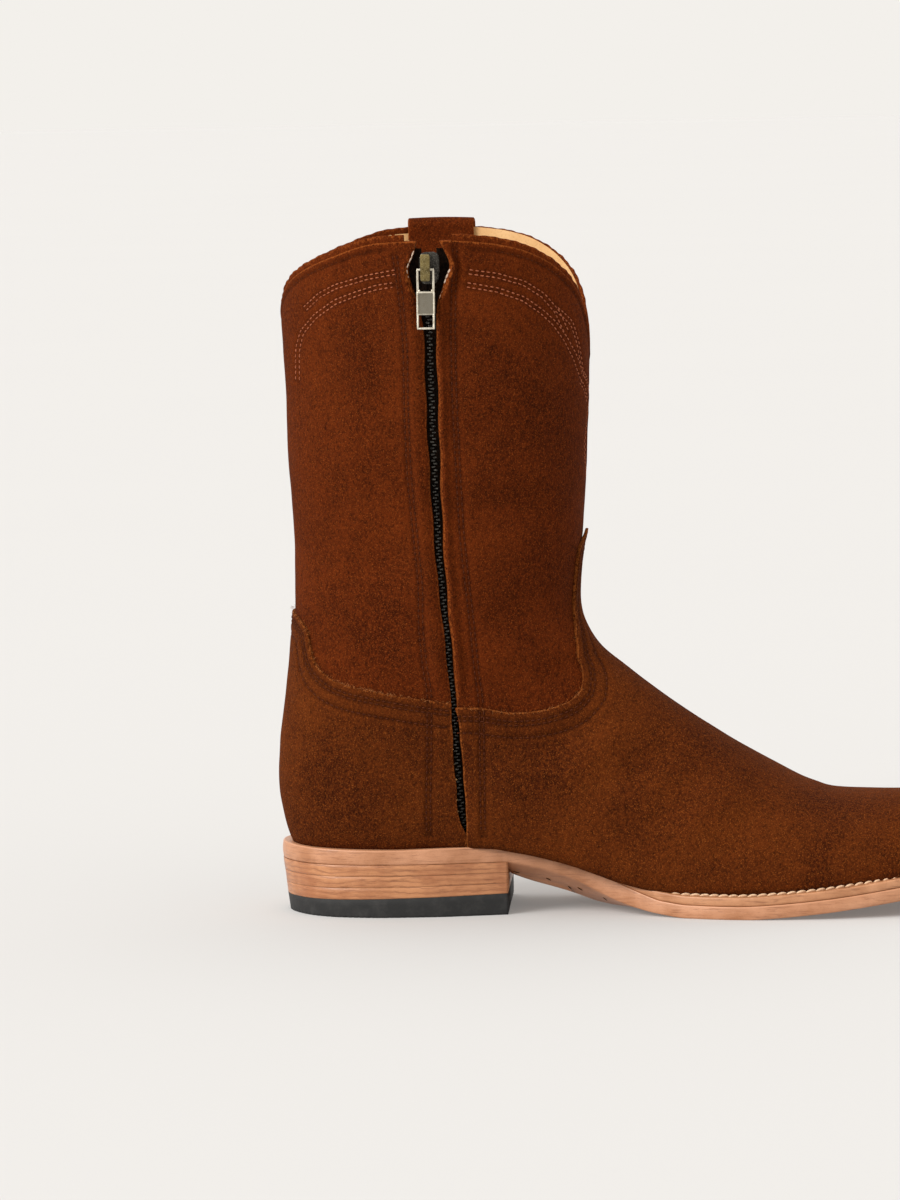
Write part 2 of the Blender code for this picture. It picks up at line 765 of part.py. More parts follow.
def build_heel(parts, leather, rubber):
    """Rubber cap on the floor and the stack of leather lifts between it and the outsole."""
    cap = (CAP_BACK, CAP_BREAST)
    heel_layer("heel_cap", (0.0, 0.0), cap, parts, rubber)
    seat = seat_bottom()
    for number in range(LIFT_COUNT):
        low_share = (LIFT_COUNT - 1 - number) / LIFT_COUNT
        high_share = (LIFT_COUNT - number) / LIFT_COUNT
        low = tuple(end + (seat - end) * low_share + LAYER_GAP for end in cap)
        high = tuple(end + (seat - end) * high_share for end in cap)
        if number == 0:
            high = tuple(value - LAYER_GAP for value in high)
        heel_layer("heel_lift_" + str(number + 1), low, high, parts, leather)


# The upper and its overlays

def ring_places(first, last):
    """A ring on each row, and between the rows of the ankle bend."""
    places = [first]
    for half_rows in range(2 * LAST_ROW + 1):
        place = half_rows / 2
        in_bend = BEND_START < place < ANKLE_ROW + 4
        if first < place < last and (half_rows % 2 == 0 or in_bend):
            places.append(place)
    return places + [last]


def shell_surface(first, last, offset, cap=True):
    """Open surface over the sections from one row to another."""
    steps = ROUND_STEPS
    rings = []
    for place in ring_places(first, last):
        rings.append([upper_point(place, 2 * math.pi * j / steps, offset) for j in range(steps)])
    mesh = rings_mesh(rings, close_ends=False)
    if cap:
        mesh.verts.ensure_lookup_table()
        ring = [mesh.verts[i] for i in range(steps)]
        centre = mesh.verts.new(sum((vert.co for vert in ring), Vector()) / steps)
        for i in range(steps):
            mesh.faces.new((ring[(i + 1) % steps], ring[i], centre))
    bmesh.ops.reverse_faces(mesh, faces=mesh.faces)
    return mesh


def add_wall(item, thickness, offset):
    modifier = item.modifiers.new("wall", "SOLIDIFY")
    modifier.thickness = thickness
    modifier.offset = offset
    modifier.use_even_offset = True


def sole_cutter(cutters):
    """Everything below the seat that the upper's pieces stand on."""
    xs = [HEEL_BACK - SEAT_HEIGHT] + sole_stations() + [HEEL_BACK + SOLE_LENGTH + SEAT_HEIGHT]
    spacing = BALL_WIDTH * 1.5 / (CUTTER_COLUMNS - 1)
    ys = [spacing * (number - CUTTER_COLUMNS // 2) for number in range(CUTTER_COLUMNS)]
    top, bottom = [], []
    for x in xs:
        clamped = min(max(x, HEEL_BACK), HEEL_BACK + SOLE_LENGTH)
        top.append([Vector((x, y, sole_top(clamped, y) + GAP)) for y in ys])
        bottom.append([Vector((x, y, -SEAT_HEIGHT)) for y in ys])
    return as_cutter(finish_mesh(slab_mesh(top, bottom), "cut_sole", cutters))


def collar_cutter(cutters):
    """Ring round the shaft above the collar's edge."""
    beyond = 4 * GAP
    ceiling = SHAFT_HEIGHT * 1.1
    steps = ROUND_STEPS * 3
    rings = []
    for i in range(steps):
        angle = 2 * math.pi * i / steps
        z = collar_height(angle)
        low_in, low_out = (shaft_point(angle, z, offset) for offset in (-WALL - beyond, beyond))
        high_in, high_out = (upper_point(LAST_ROW, angle, offset)
                             for offset in (-WALL - beyond, beyond))
        corners = ((low_in, z), (low_out, z), (high_out, ceiling), (high_in, ceiling))
        rings.append([Vector((point.x, point.y, level)) for point, level in corners])
    mesh = rings_mesh(rings, close_ends=False, closed_along=True)
    return as_cutter(finish_mesh(mesh, "cut_collar", cutters))


def slit_cutter(cutters):
    """Slit of the zip, cut through the medial wall only."""
    heights = [row.height * SHAFT_HEIGHT for row in ZIP]
    fine = []
    for low, high in zip(heights, heights[1:]):
        fine += [low + (high - low) * s / 2 for s in range(2)]
    fine.append(heights[-1])
    outline = [(zip_x(z) - slit_half(z), z) for z in fine]
    outline += [(zip_x(z) + slit_half(z), z) for z in reversed(fine)]
    return prism("cut_slit", outline, -SHAFT_WIDTH, -SHAFT_WIDTH / 6, cutters)


def edge_points(rows):
    """Smooth line through the rows of an edge table."""
    xs, zs = column(rows, "x"), column(rows, "z")
    points = []
    for i in range(2 * (len(rows) - 1) + 1):
        points.append((along_x(by_row(xs, i / 2)), SHAFT_HEIGHT * by_row(zs, i / 2)))
    return points


def seam_points(shift, top_z):
    """Side seam from under the sole up to the overlays' corners, on the zip's line."""
    low = -SEAT_HEIGHT * 1.3
    points = [(zip_x(0) + shift, low)]
    for i in range(9):
        z = top_z * i / 8
        points.append((zip_x(z) + shift, z))
    return points


def vamp_keeper(cutters):
    """Region of the vamp: its side outline joined with the tongue's front outline."""
    corner_z = VAMP_EDGE[0].z * SHAFT_HEIGHT
    seam = seam_points(LAYER_GAP * 2, corner_z - GAP)
    edge = edge_points(VAMP_EDGE)[1:]
    ahead = HEEL_BACK + SOLE_LENGTH + SHAFT_WIDTH / 2
    outline = seam + edge + [(ahead, edge[-1][1]), (ahead, seam[0][1])]
    side = prism("keep_vamp", outline, -BALL_WIDTH, BALL_WIDTH, cutters)
    rows = []
    zs, halves = column(TONGUE, "z"), column(TONGUE, "half")
    for i in range(2 * (len(TONGUE) - 1) + 1):
        rows.append((SHAFT_HEIGHT * by_row(zs, i / 2), BALL_WIDTH * by_row(halves, i / 2)))
    front = [(half, z) for z, half in rows] + [(-half, z) for z, half in reversed(rows)]
    reach = (along_x(1 / 3), ahead - SEAT_HEIGHT)
    rings = [[Vector((x, y, z)) for y, z in front] for x in reach]
    tongue = as_cutter(finish_mesh(rings_mesh(rings), "keep_tongue", cutters))
    add_cut(side, tongue, "UNION")
    return side


def counter_keeper(cutters):
    corner_z = COUNTER_EDGE[0].z * SHAFT_HEIGHT
    seam = seam_points(-LAYER_GAP * 2, corner_z - GAP)
    edge = edge_points(COUNTER_EDGE)[1:]
    behind = HEEL_BACK - SEAT_HEIGHT
    outline = seam + edge + [(behind, edge[-1][1] + SEAT_THICKNESS), (behind, seam[0][1])]
    return prism("keep_counter", outline, -BALL_WIDTH, BALL_WIDTH, cutters)


def build_upper(parts, cutters, suede):
    sole, slit = sole_cutter(cutters), slit_cutter(cutters)
    collar = collar_cutter(cutters)
    upper = finish_mesh(shell_surface(0, LAST_ROW, 0.0), "upper", parts, suede, False)
    add_wall(upper, WALL, -1)
    for cutter in (slit, sole, collar):
        add_cut(upper, cutter)

    front_surface = shell_surface(0, TONGUE_ROW, GAP)
    heel_surface = shell_surface(COUNTER_ROW, TONGUE_ROW, GAP, cap=False)
    overlays = (("vamp", front_surface, vamp_keeper(cutters)),
                ("counter", heel_surface, counter_keeper(cutters)))
    for name, surface, keeper in overlays:
        overlay = finish_mesh(surface, name, parts, suede, False)
        add_wall(overlay, OVERLAY, 1)
        for cutter in (sole, slit):
            add_cut(keeper, cutter)
        add_cut(overlay, keeper, "INTERSECT")


def build_bead(parts, suede):
    """Binding that stands on the collar's edge from one lip of the zip round to the other."""
    radius = shaft_point(math.pi / 2, SHAFT_HEIGHT - BEAD_STAND).x - along_x(SHAFT[-2].back_x)
    gap_turn = (slit_half(SHAFT_HEIGHT) + 2 * GAP) / radius
    start, end = math.pi / 2 + gap_turn, math.pi * 2.5 - gap_turn
    inset = (WALL - BEAD_THICKNESS) / 2
    step = 2 * math.pi / (ROUND_STEPS * 3)
    angles = [start]
    angles += [step * i for i in range(ROUND_STEPS * 4) if start + GAP < step * i < end - GAP]
    angles.append(end)
    rings = []
    for angle in angles:
        low, high = collar_height(angle) + GAP, bead_top(angle)
        outer_low, inner_low = (shaft_point(angle, low, -depth) for depth
                                in (inset, inset + BEAD_THICKNESS))
        outer_high, inner_high = (shaft_point(angle, high, -depth) for depth
                                  in (inset, inset + BEAD_THICKNESS))
        rings.append([Vector((outer_low.x, outer_low.y, low)),
                      Vector((outer_high.x, outer_high.y, high)),
                      Vector((inner_high.x, inner_high.y, high)),
                      Vector((inner_low.x, inner_low.y, low))])
    finish_mesh(rings_mesh(rings), "collar_bead", parts, suede)


def strap_path(shift):
    """Profile line of the strap as pairs of offset and height under the bead's top."""
    outer = GAP + STRAP_THICKNESS / 2
    inner = -(INSIDE_WALL + STRAP_THICKNESS / 2)
    centre = (outer + inner) / 2
    reach = (outer - inner) / 2 + shift
    bend_z = STRAP_RISE - STRAP_THICKNESS / 2 - (outer - inner) / 2
    points = [(outer + shift, -STRAP_OUTER_LENGTH * (1 - s / 4)) for s in range(4)]
    for i in range(9):
        turn = math.pi * i / 8
        points.append((centre + reach * math.cos(turn), bend_z + reach * math.sin(turn)))
    points += [(inner - shift, -STRAP_INNER_LENGTH * s / 3) for s in range(1, 4)]
    return points


def build_strap(parts, suede):
    """Loop over the collar on the outer side, wrapped on the shaft's own curve."""
    row = SHAFT[-2]
    strap_depth = along_x(row.front_x) - along_x(row.back_x) + 2 * STRAP_THICKNESS
    half_turn = math.asin((STRAP_WIDTH / strap_depth) ** (row.above / 2))
    middle = math.pi * 1.5
    across = 4
    rings = []
    for i in range(across + 1):
        angle = middle + half_turn * (2 * i / across - 1)
        ring = []
        outline = strap_path(STRAP_THICKNESS / 2) + list(reversed(strap_path(-STRAP_THICKNESS / 2)))
        for offset, height in outline:
            z = SHAFT_HEIGHT + height
            point = shaft_point(angle, z, offset)
            ring.append(Vector((point.x, point.y, z)))
        rings.append(ring)
    finish_mesh(rings_mesh(rings), "pull_strap", parts, suede)


# The zip

def zip_band(name, low_z, high_z, edges, depths, parts, material, rows=20):
    """Band behind the slit between two lines beside the zip and two depths."""
    rings = []
    for i in range(rows + 1):
        z = low_z + (high_z - low_z) * i / rows
        first, last = edges(z)
        ring = []
        for x, depth in ((first, depths[0]), (last, depths[0]), (last, depths[1]),
                         (first, depths[1])):
            ring.append(side_point(zip_x(z) + x, z, -depth))
        rings.append(ring)
    finish_mesh(rings_mesh(rings), name, parts, material)


def build_zip_bands(parts, fabric, brass):
    """Two tapes and the chain between them; the tapes part round the slider."""
    slider_low = PULL_HEIGHT - SLIDER_LENGTH / 2
    tape_low = ZIP[0].height * SHAFT_HEIGHT - 4 * GAP
    tape_high = SHAFT_HEIGHT - 2 * BEAD_STAND
    depth = INSIDE_WALL

    def inner_edge(z):
        closed, parted = CHAIN_WIDTH / 2 + GAP, SLIDER_WIDTH / 2 + 2 * GAP
        parted_z = slider_low - SLIT_WIDTH
        share = min(max(1 - (parted_z - z) / TAPE_PARTING, 0.0), 1.0)
        return closed + (parted - closed) * share

    def front(z):
        return inner_edge(z), inner_edge(z) + TAPE_WIDTH

    def back(z):
        return -inner_edge(z) - TAPE_WIDTH, -inner_edge(z)

    def chain(z):
        return -CHAIN_WIDTH / 2, CHAIN_WIDTH / 2

    tape_depths = (depth, depth + TAPE_THICKNESS)
    zip_band("zip_tape_front", tape_low, tape_high, front, tape_depths, parts, fabric)
    zip_band("zip_tape_back", tape_low, tape_high, back, tape_depths, parts, fabric)
    zip_band("zip_chain", tape_low, slider_low - GAP, chain, (depth, depth + CHAIN_THICKNESS),
             parts, brass)


def box_mesh(low, high):
    mesh = bmesh.new()
    size = [b - a for a, b in zip(low, high)]
    middle = [(a + b) / 2 for a, b in zip(low, high)]
    matrix = Matrix.Translation(middle) @ Matrix.Diagonal((*size, 1.0))
    bmesh.ops.create_cube(mesh, size=1.0, matrix=matrix)
    return mesh


def box_object(name, low, high, collection, bevel=0.0, material=None):
    item = finish_mesh(box_mesh(low, high), name, collection, material)
    if bevel:
        modifier = item.modifiers.new("edges", "BEVEL")
        modifier.width = bevel
        modifier.segments = 2
    return item


def pull_axis():
    """Middle of the pull's hinge pin, just outside the wall."""
    x = zip_x(PULL_HEIGHT)
    face = side_point(x, PULL_HEIGHT).y
    return Vector((x, face - PULL_THICKNESS / 2 - 3 * GAP, PULL_HEIGHT))


def build_slider(parts, cutters, brass):
    """Slider body in the mouth of the slit, with the crown that the pull hangs from."""
    axis = pull_axis()
    half = SLIDER_LENGTH / 2
    body_face = axis.y + PULL_THICKNESS / 2 + GAP * 1.5
    body = box_object("zip_slider", (axis.x - SLIDER_WIDTH / 2, body_face, axis.z - half),
                      (axis.x + SLIDER_WIDTH / 2, body_face + SLIDER_THICKNESS, axis.z + half),
                      parts, 1.2 * MM, brass)
    crown_half = CROWN_LENGTH / 2
    crown_face = axis.y - PULL_THICKNESS / 2 - 1.5 * GAP - CROWN_THICKNESS
    crown = box_object("join_crown", (axis.x - CROWN_WIDTH / 2, crown_face, axis.z - crown_half),
                       (axis.x + CROWN_WIDTH / 2, body_face + SLIDER_THICKNESS / 2,
                        axis.z + crown_half), cutters, 0.6 * MM)
    window_half = crown_half - CROWN_THICKNESS
    window = box_object("cut_crown", (axis.x - SLIDER_WIDTH, crown_face + CROWN_THICKNESS,
                                      axis.z - window_half),
                        (axis.x + SLIDER_WIDTH, body_face, axis.z + window_half), cutters)
    add_cut(body, as_cutter(crown), "UNION")
    add_cut(body, as_cutter(window))


def build_pull(parts, cutters, steel):
    """Pull tab hanging from the crown: a pin, two prongs, a plain panel and an open slot."""
    axis = pull_axis()
    rows = 10
    half_width, half_thick = PULL_WIDTH / 2, PULL_THICKNESS / 2
    top = half_thick
    rings = []
    for i in range(rows + 1):
        s = i / rows
        z = top - PULL_LENGTH * s
        out = -PULL_SPLAY * s ** 2
        narrow = half_width - (PULL_CORNER if i in (0, rows) else 0.0)
        rings.append([Vector((-narrow, out - half_thick, z)), Vector((narrow, out - half_thick, z)),
                      Vector((narrow, out + half_thick, z)), Vector((-narrow, out + half_thick, z))])
    pull = finish_mesh(rings_mesh(rings), "zip_pull", parts, steel)
    pull.location = axis
    inner = half_width - PULL_RIM
    deep = PULL_SPLAY * 3
    for row in PULL_WINDOWS:
        low = (axis.x - inner, axis.y - deep, axis.z - PULL_LENGTH * row.low)
        high = (axis.x + inner, axis.y + deep, axis.z - PULL_LENGTH * row.high)
        add_cut(pull, as_cutter(box_object(row.name, low, high, cutters)))


def main():
    clear_scene()
    parts = make_collection("roper_boot")
    cutters = make_collection("cutters")
    suede = make_material("suede", (0.115, 0.032, 0.010), 0.9)
    leather = make_material("sole_leather", (0.50, 0.22, 0.10), 0.55)
    rubber = make_material("rubber", (0.02, 0.02, 0.02), 0.7)
    brass = make_material("aged_brass", (0.20, 0.15, 0.08), 0.4, 1.0)
    steel = make_material("pull_metal", (0.45, 0.40, 0.33), 0.35, 1.0)
    fabric = make_material("zip_tape", (0.05, 0.03, 0.02), 0.9)
    build_outsole(parts, leather)
    build_insole(parts, leather)
    build_welt(parts, leather)
    build_heel(parts, leather, rubber)
    build_upper(parts, cutters, suede)
    build_bead(parts, suede)
    build_strap(parts, suede)
    build_zip_bands(parts, fabric, brass)
    build_slider(parts, cutters, brass)
    build_pull(parts, cutters, steel)


main()
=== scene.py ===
"""Looks of a roper boot with a side zip, left foot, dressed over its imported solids.

Metres, +X to the toe, +Z up, -Y the inner (medial) side with the zip.
"""
import math
from collections import namedtuple

import bpy
import numpy as np
from mathutils import Matrix, Vector
from mathutils.kdtree import KDTree


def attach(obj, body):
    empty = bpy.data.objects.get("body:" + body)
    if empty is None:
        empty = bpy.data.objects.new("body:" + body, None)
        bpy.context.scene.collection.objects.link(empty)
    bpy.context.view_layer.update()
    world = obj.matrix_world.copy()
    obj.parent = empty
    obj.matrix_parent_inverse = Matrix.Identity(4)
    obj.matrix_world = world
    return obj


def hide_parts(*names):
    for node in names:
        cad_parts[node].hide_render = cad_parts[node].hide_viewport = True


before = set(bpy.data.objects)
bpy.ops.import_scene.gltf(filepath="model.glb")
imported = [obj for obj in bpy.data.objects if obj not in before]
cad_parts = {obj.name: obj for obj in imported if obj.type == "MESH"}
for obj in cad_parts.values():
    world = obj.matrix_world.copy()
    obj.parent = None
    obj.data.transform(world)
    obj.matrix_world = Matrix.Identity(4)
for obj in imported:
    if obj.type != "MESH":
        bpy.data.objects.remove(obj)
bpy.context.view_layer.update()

MM = 0.001


def table(names, rows):
    """Rows of values that are read by name."""
    row_kind = namedtuple("Row", names)
    return [row_kind(*row) for row in rows]


# Driving sizes of the sole and the heel
SOLE_LENGTH = 306.2 * MM
BALL_WIDTH = 106 * MM
HEEL_BACK = -46.2 * MM
HEEL_LENGTH = 92.4 * MM
SEAT_LEDGE = 1.2 * MM
SEAT_HEIGHT = 28.5 * MM
SEAT_THICKNESS = 7.0 * MM
OUTSOLE_THICKNESS = 5.5 * MM
WAIST_THICKNESS = 5.0 * MM
WELT_THICKNESS = 3.4 * MM
WELT_START = 131 * MM
WELT_TAPER = 22.4 * MM
WELT_END = 3 * MM
TOE_SPRING = 15 * MM
WAIST_DOME = 10 * MM
INSOLE_THICKNESS = 3.0 * MM
INSOLE_INSET = 12.2 * MM
LIFT_COUNT = 3
CAP_BACK = 6.9 * MM
CAP_BREAST = 8.7 * MM
HEEL_LEAN = 2.4 * MM

# Driving sizes of the upper
SHAFT_HEIGHT = 275.4 * MM
SHAFT_WIDTH = 112 * MM
INSTEP_HEIGHT = 104 * MM
WALL = 2.4 * MM
OVERLAY = 1.4 * MM
BEAD_STAND = 3.0 * MM
STRAP_WIDTH = 29.5 * MM
STRAP_THICKNESS = 1.6 * MM
STRAP_RISE = 3.2 * MM
STRAP_OUTER_LENGTH = 40 * MM
STRAP_INNER_LENGTH = 18 * MM

# Driving sizes of the zip
SLIT_WIDTH = 5.4 * MM
SLIDER_WIDTH = 8.6 * MM
SLIDER_LENGTH = 11.5 * MM
PULL_LENGTH = 24 * MM
PULL_THICKNESS = 1.2 * MM
PULL_DROP = 14.1 * MM
PULL_SPLAY = 3.0 * MM

# Height of the pull's pin, which hangs below the collar's top
PULL_HEIGHT = SHAFT_HEIGHT - PULL_DROP

# Clearances, the least half width of a plan's ring, and the trim at both ends of the plan
GAP = 0.3 * MM
LAYER_GAP = 0.1 * MM
LEAST_HALF = 0.3 * MM
END_TRIM = 0.15 * MM

# Plan of the sole. along: share of SOLE_LENGTH from the back, widths: shares of BALL_WIDTH
PLAN = table("along medial lateral", [
    (0.000, 0.000, 0.000),
    (0.016, 0.150, 0.153),
    (0.042, 0.236, 0.243),
    (0.082, 0.293, 0.302),
    (0.138, 0.316, 0.326),
    (0.200, 0.309, 0.325),
    (0.262, 0.280, 0.311),
    (0.320, 0.250, 0.297),
    (0.380, 0.240, 0.292),
    (0.433, 0.262, 0.311),
    (0.485, 0.325, 0.358),
    (0.541, 0.396, 0.430),
    (0.597, 0.441, 0.497),
    (0.650, 0.458, 0.538),
    (0.705, 0.457, 0.545),
    (0.760, 0.440, 0.523),
    (0.820, 0.402, 0.474),
    (0.875, 0.350, 0.408),
    (0.925, 0.284, 0.328),
    (0.964, 0.208, 0.240),
    (0.987, 0.130, 0.149),
    (1.000, 0.000, 0.000),
])

# Side view of the sole. along: share of SOLE_LENGTH, seat: share of SEAT_HEIGHT in the top's
# height, spring: share of TOE_SPRING, welted: 0 bare waist to 1 full forefoot thickness,
# lean: fall of the top towards the outer side, dome: share of WAIST_DOME under the middle
PROFILE = table("along seat spring welted lean dome", [
    (0.000, 1.000, 0.0, 0.00, 0.000, 0.00),
    (0.060, 0.980, 0.0, 0.00, 0.000, 0.00),
    (0.150, 0.965, 0.0, 0.00, 0.000, 0.00),
    (0.240, 0.985, 0.0, 0.00, 0.000, 0.00),
    (0.285, 0.960, 0.0, 0.00, 0.010, 0.00),
    (0.306, 0.905, 0.0, 0.00, 0.025, 0.85),
    (0.345, 0.795, 0.0, 0.02, 0.050, 1.00),
    (0.390, 0.650, 0.0, 0.20, 0.060, 0.92),
    (0.420, 0.540, 0.0, 0.60, 0.055, 0.70),
    (0.455, 0.430, 0.0, 0.90, 0.035, 0.35),
    (0.500, 0.350, 0.0, 1.00, 0.012, 0.08),
    (0.540, 0.320, 0.0, 1.00, 0.000, 0.00),
    (0.600, 0.316, 0.0, 1.00, 0.000, 0.00),
    (0.650, 0.316, 0.05, 1.00, 0.000, 0.00),
    (0.720, 0.316, 0.18, 1.00, 0.000, 0.00),
    (0.810, 0.316, 0.42, 1.00, 0.000, 0.00),
    (0.900, 0.316, 0.70, 1.00, 0.000, 0.00),
    (1.000, 0.316, 1.00, 1.00, 0.000, 0.00),
])

# Sections of the foot part, from the toe's tip to the ankle bend. Each is a closed curve in the
# plane of its top point, its bottom point and Y. x: shares of LAST_LENGTH from the back, top_z:
# share of INSTEP_HEIGHT, sunk: share of SEAT_HEIGHT by which the bottom lies under the sole's
# top, widths: shares of BALL_WIDTH, widest: where on the line from bottom to top the width is
# largest, the two powers: how square the curve is above and below that
FOOT = table("top_x top_z bottom_x sunk medial lateral widest above below", [
    (0.9745, 0.318, 0.9745, 0.10, 0.022, 0.028, 0.50, 2.0, 2.0),
    (0.9700, 0.350, 0.9700, 0.28, 0.098, 0.112, 0.44, 2.0, 2.4),
    (0.9570, 0.382, 0.9570, 0.33, 0.170, 0.195, 0.40, 2.0, 2.8),
    (0.9330, 0.406, 0.9330, 0.35, 0.236, 0.276, 0.38, 2.0, 3.0),
    (0.8950, 0.421, 0.8950, 0.35, 0.294, 0.348, 0.37, 2.1, 3.2),
    (0.8460, 0.423, 0.8460, 0.35, 0.337, 0.408, 0.36, 2.1, 3.2),
    (0.7900, 0.424, 0.7900, 0.35, 0.373, 0.455, 0.36, 2.1, 3.2),
    (0.7340, 0.432, 0.7310, 0.35, 0.394, 0.482, 0.35, 2.1, 3.2),
    (0.7050, 0.457, 0.6990, 0.35, 0.399, 0.486, 0.345, 2.1, 3.2),
    (0.6750, 0.497, 0.6660, 0.35, 0.400, 0.485, 0.34, 2.1, 3.2),
    (0.6060, 0.612, 0.5930, 0.35, 0.390, 0.462, 0.33, 2.1, 3.0),
    (0.5380, 0.741, 0.5110, 0.35, 0.362, 0.417, 0.32, 2.1, 2.8),
    (0.4840, 0.856, 0.4230, 0.35, 0.330, 0.366, 0.33, 2.2, 2.6),
    (0.4475, 0.942, 0.3180, 0.35, 0.318, 0.336, 0.36, 2.3, 2.6),
    (0.4249, 0.998, 0.1970, 0.36, 0.321, 0.326, 0.40, 2.4, 2.6),
    (0.4105, 1.048, 0.0950, 0.37, 0.332, 0.333, 0.43, 2.5, 2.6),
])

# Sections of the shaft, from the ankle bend to above the collar. x as above, front_z: share of
# the way from the last foot row's top to SHAFT_HEIGHT, back_z: share of SHAFT_HEIGHT, half: half
# width as a share of SHAFT_WIDTH, the same on both sides
SHAFT = table("front_x front_z back_x back_z half widest above below", [
    (0.4007, 0.0332, 0.0260, 0.087, 0.327, 0.46, 2.6, 2.5),
    (0.3951, 0.0692, 0.0007, 0.163, 0.339, 0.48, 2.5, 2.4),
    (0.3934, 0.1143, 0.0003, 0.247, 0.353, 0.50, 2.4, 2.3),
    (0.3961, 0.1805, 0.0105, 0.334, 0.366, 0.50, 2.3, 2.2),
    (0.4030, 0.2705, 0.0187, 0.443, 0.384, 0.50, 2.2, 2.2),
    (0.4089, 0.4148, 0.0174, 0.581, 0.411, 0.50, 2.2, 2.2),
    (0.4138, 0.5950, 0.0126, 0.726, 0.441, 0.50, 2.1, 2.1),
    (0.4170, 0.7753, 0.0082, 0.864, 0.468, 0.50, 2.1, 2.1),
    (0.4193, 0.9555, 0.0059, 0.973, 0.489, 0.50, 2.1, 2.1),
    (0.4207, 1.0993, 0.0046, 1.060, 0.504, 0.50, 2.1, 2.1),
])

# Collar's height. angle: degrees round the shaft from the front, height: share of SHAFT_HEIGHT
COLLAR = table("angle height", [
    (0, 0.8240),
    (12, 0.8790),
    (23, 0.9205),
    (33, 0.9460),
    (45, 0.9695),
    (57, 0.9860),
    (70, 0.9955),
    (86, 1.0000),
    (106, 0.9975),
    (129, 0.9750),
    (147, 0.9525),
    (157, 0.9370),
    (168, 0.9140),
    (180, 0.8860),
])

# Line of the zip. height: share of SHAFT_HEIGHT, x: share of LAST_LENGTH, opening: share of
# SLIT_WIDTH
ZIP = table("height x opening", [
    (0.120, 0.2460, 0.10),
    (0.140, 0.2430, 0.55),
    (0.185, 0.2400, 0.74),
    (0.255, 0.2365, 0.74),
    (0.320, 0.2340, 0.50),
    (0.365, 0.2310, 0.56),
    (0.430, 0.2265, 0.62),
    (0.535, 0.2195, 0.76),
    (0.630, 0.2165, 0.86),
    (0.730, 0.2145, 1.00),
    (0.865, 0.2130, 1.04),
    (0.900, 0.2120, 1.55),
    (0.925, 0.2120, 2.55),
    (0.950, 0.2130, 2.85),
    (0.975, 0.2140, 2.35),
    (1.000, 0.2130, 1.55),
    (1.060, 0.2130, 1.50),
])

# Upper edges of the overlays in side view, from the side seam. x: share of LAST_LENGTH,
# z: share of SHAFT_HEIGHT
VAMP_EDGE = table("x z", [
    (0.2400, 0.3100),
    (0.2700, 0.3080),
    (0.3100, 0.3000),
    (0.3500, 0.3020),
    (0.3830, 0.3125),
    (0.3990, 0.3280),
    (0.4080, 0.3400),
    (0.4230, 0.3480),
])
COUNTER_EDGE = table("x z", [
    (0.2400, 0.3165),
    (0.1920, 0.3245),
    (0.1580, 0.3310),
    (0.1250, 0.3380),
    (0.0970, 0.3445),
    (0.0740, 0.3540),
    (0.0575, 0.3680),
    (0.0500, 0.3810),
    (0.0450, 0.4020),
    (0.0420, 0.4210),
    (0.0310, 0.4370),
    (0.0150, 0.4490),
])

# Tongue of the vamp in front view. z: share of SHAFT_HEIGHT, half: share of BALL_WIDTH
TONGUE = table("z half", [
    (0.3300, 0.245),
    (0.3530, 0.208),
    (0.3860, 0.176),
    (0.4080, 0.158),
    (0.4240, 0.134),
    (0.4450, 0.120),
    (0.4700, 0.111),
    (0.5000, 0.105),
    (0.5300, 0.102),
    (0.5420, 0.060),
    (0.5580, 0.004),
])

# Curves and the upper's surface, for whole arrays of places at once

def hermite(a, b, slope_a, slope_b, s):
    """Cubic from a to b with end slopes given per unit of s."""
    return (a * (2 * s ** 3 - 3 * s ** 2 + 1) + slope_a * (s ** 3 - 2 * s ** 2 + s)
            + b * (3 * s ** 2 - 2 * s ** 3) + slope_b * (s ** 3 - s ** 2))


def by_row(values, place):
    """Smooth values at places counted in rows."""
    place = np.asarray(place, float)
    index = np.clip(place.astype(int), 0, len(values) - 2)
    before, after = np.maximum(index - 1, 0), np.minimum(index + 2, len(values) - 1)
    s = place - index
    if values.ndim > 1:
        s = s[..., None]
    a, b = values[index], values[index + 1]
    return hermite(a, b, (b - values[before]) / 2, (values[after] - a) / 2, s)


def keyed(keys, values):
    """Smooth function through unevenly spaced keys, without overshoot."""
    keys, values = np.asarray(keys, float), np.asarray(values, float)
    grades = np.diff(values) / np.diff(keys)
    before, after = grades[:-1], grades[1:]
    same = before * after > 0
    total = np.where(same, before + after, 1.0)
    inner = np.where(same, 2 * before * after / total, 0.0)
    slopes = np.concatenate([grades[:1], inner, grades[-1:]])

    def curve(key):
        key = np.clip(key, keys[0], keys[-1])
        index = np.clip(np.searchsorted(keys, key, side="right") - 1, 0, len(keys) - 2)
        span = keys[index + 1] - keys[index]
        return hermite(values[index], values[index + 1], slopes[index] * span,
                       slopes[index + 1] * span, (key - keys[index]) / span)

    return curve


def column(rows, name):
    return np.array([getattr(row, name) for row in rows])


def bell(value, width, power=2):
    """1 where the value is 0, falling off on both sides over a width."""
    return np.exp(-(value / width) ** power)


def ramp(value, start, run):
    """0 up to a start, then rising to 1 over a run."""
    return np.clip((value - start) / run, 0, 1)


LAST_BACK = HEEL_BACK + SEAT_LEDGE
LAST_LENGTH = SOLE_LENGTH - SEAT_LEDGE


def along_x(share):
    return LAST_BACK + share * LAST_LENGTH


def share_of(x):
    return (x - HEEL_BACK) / SOLE_LENGTH


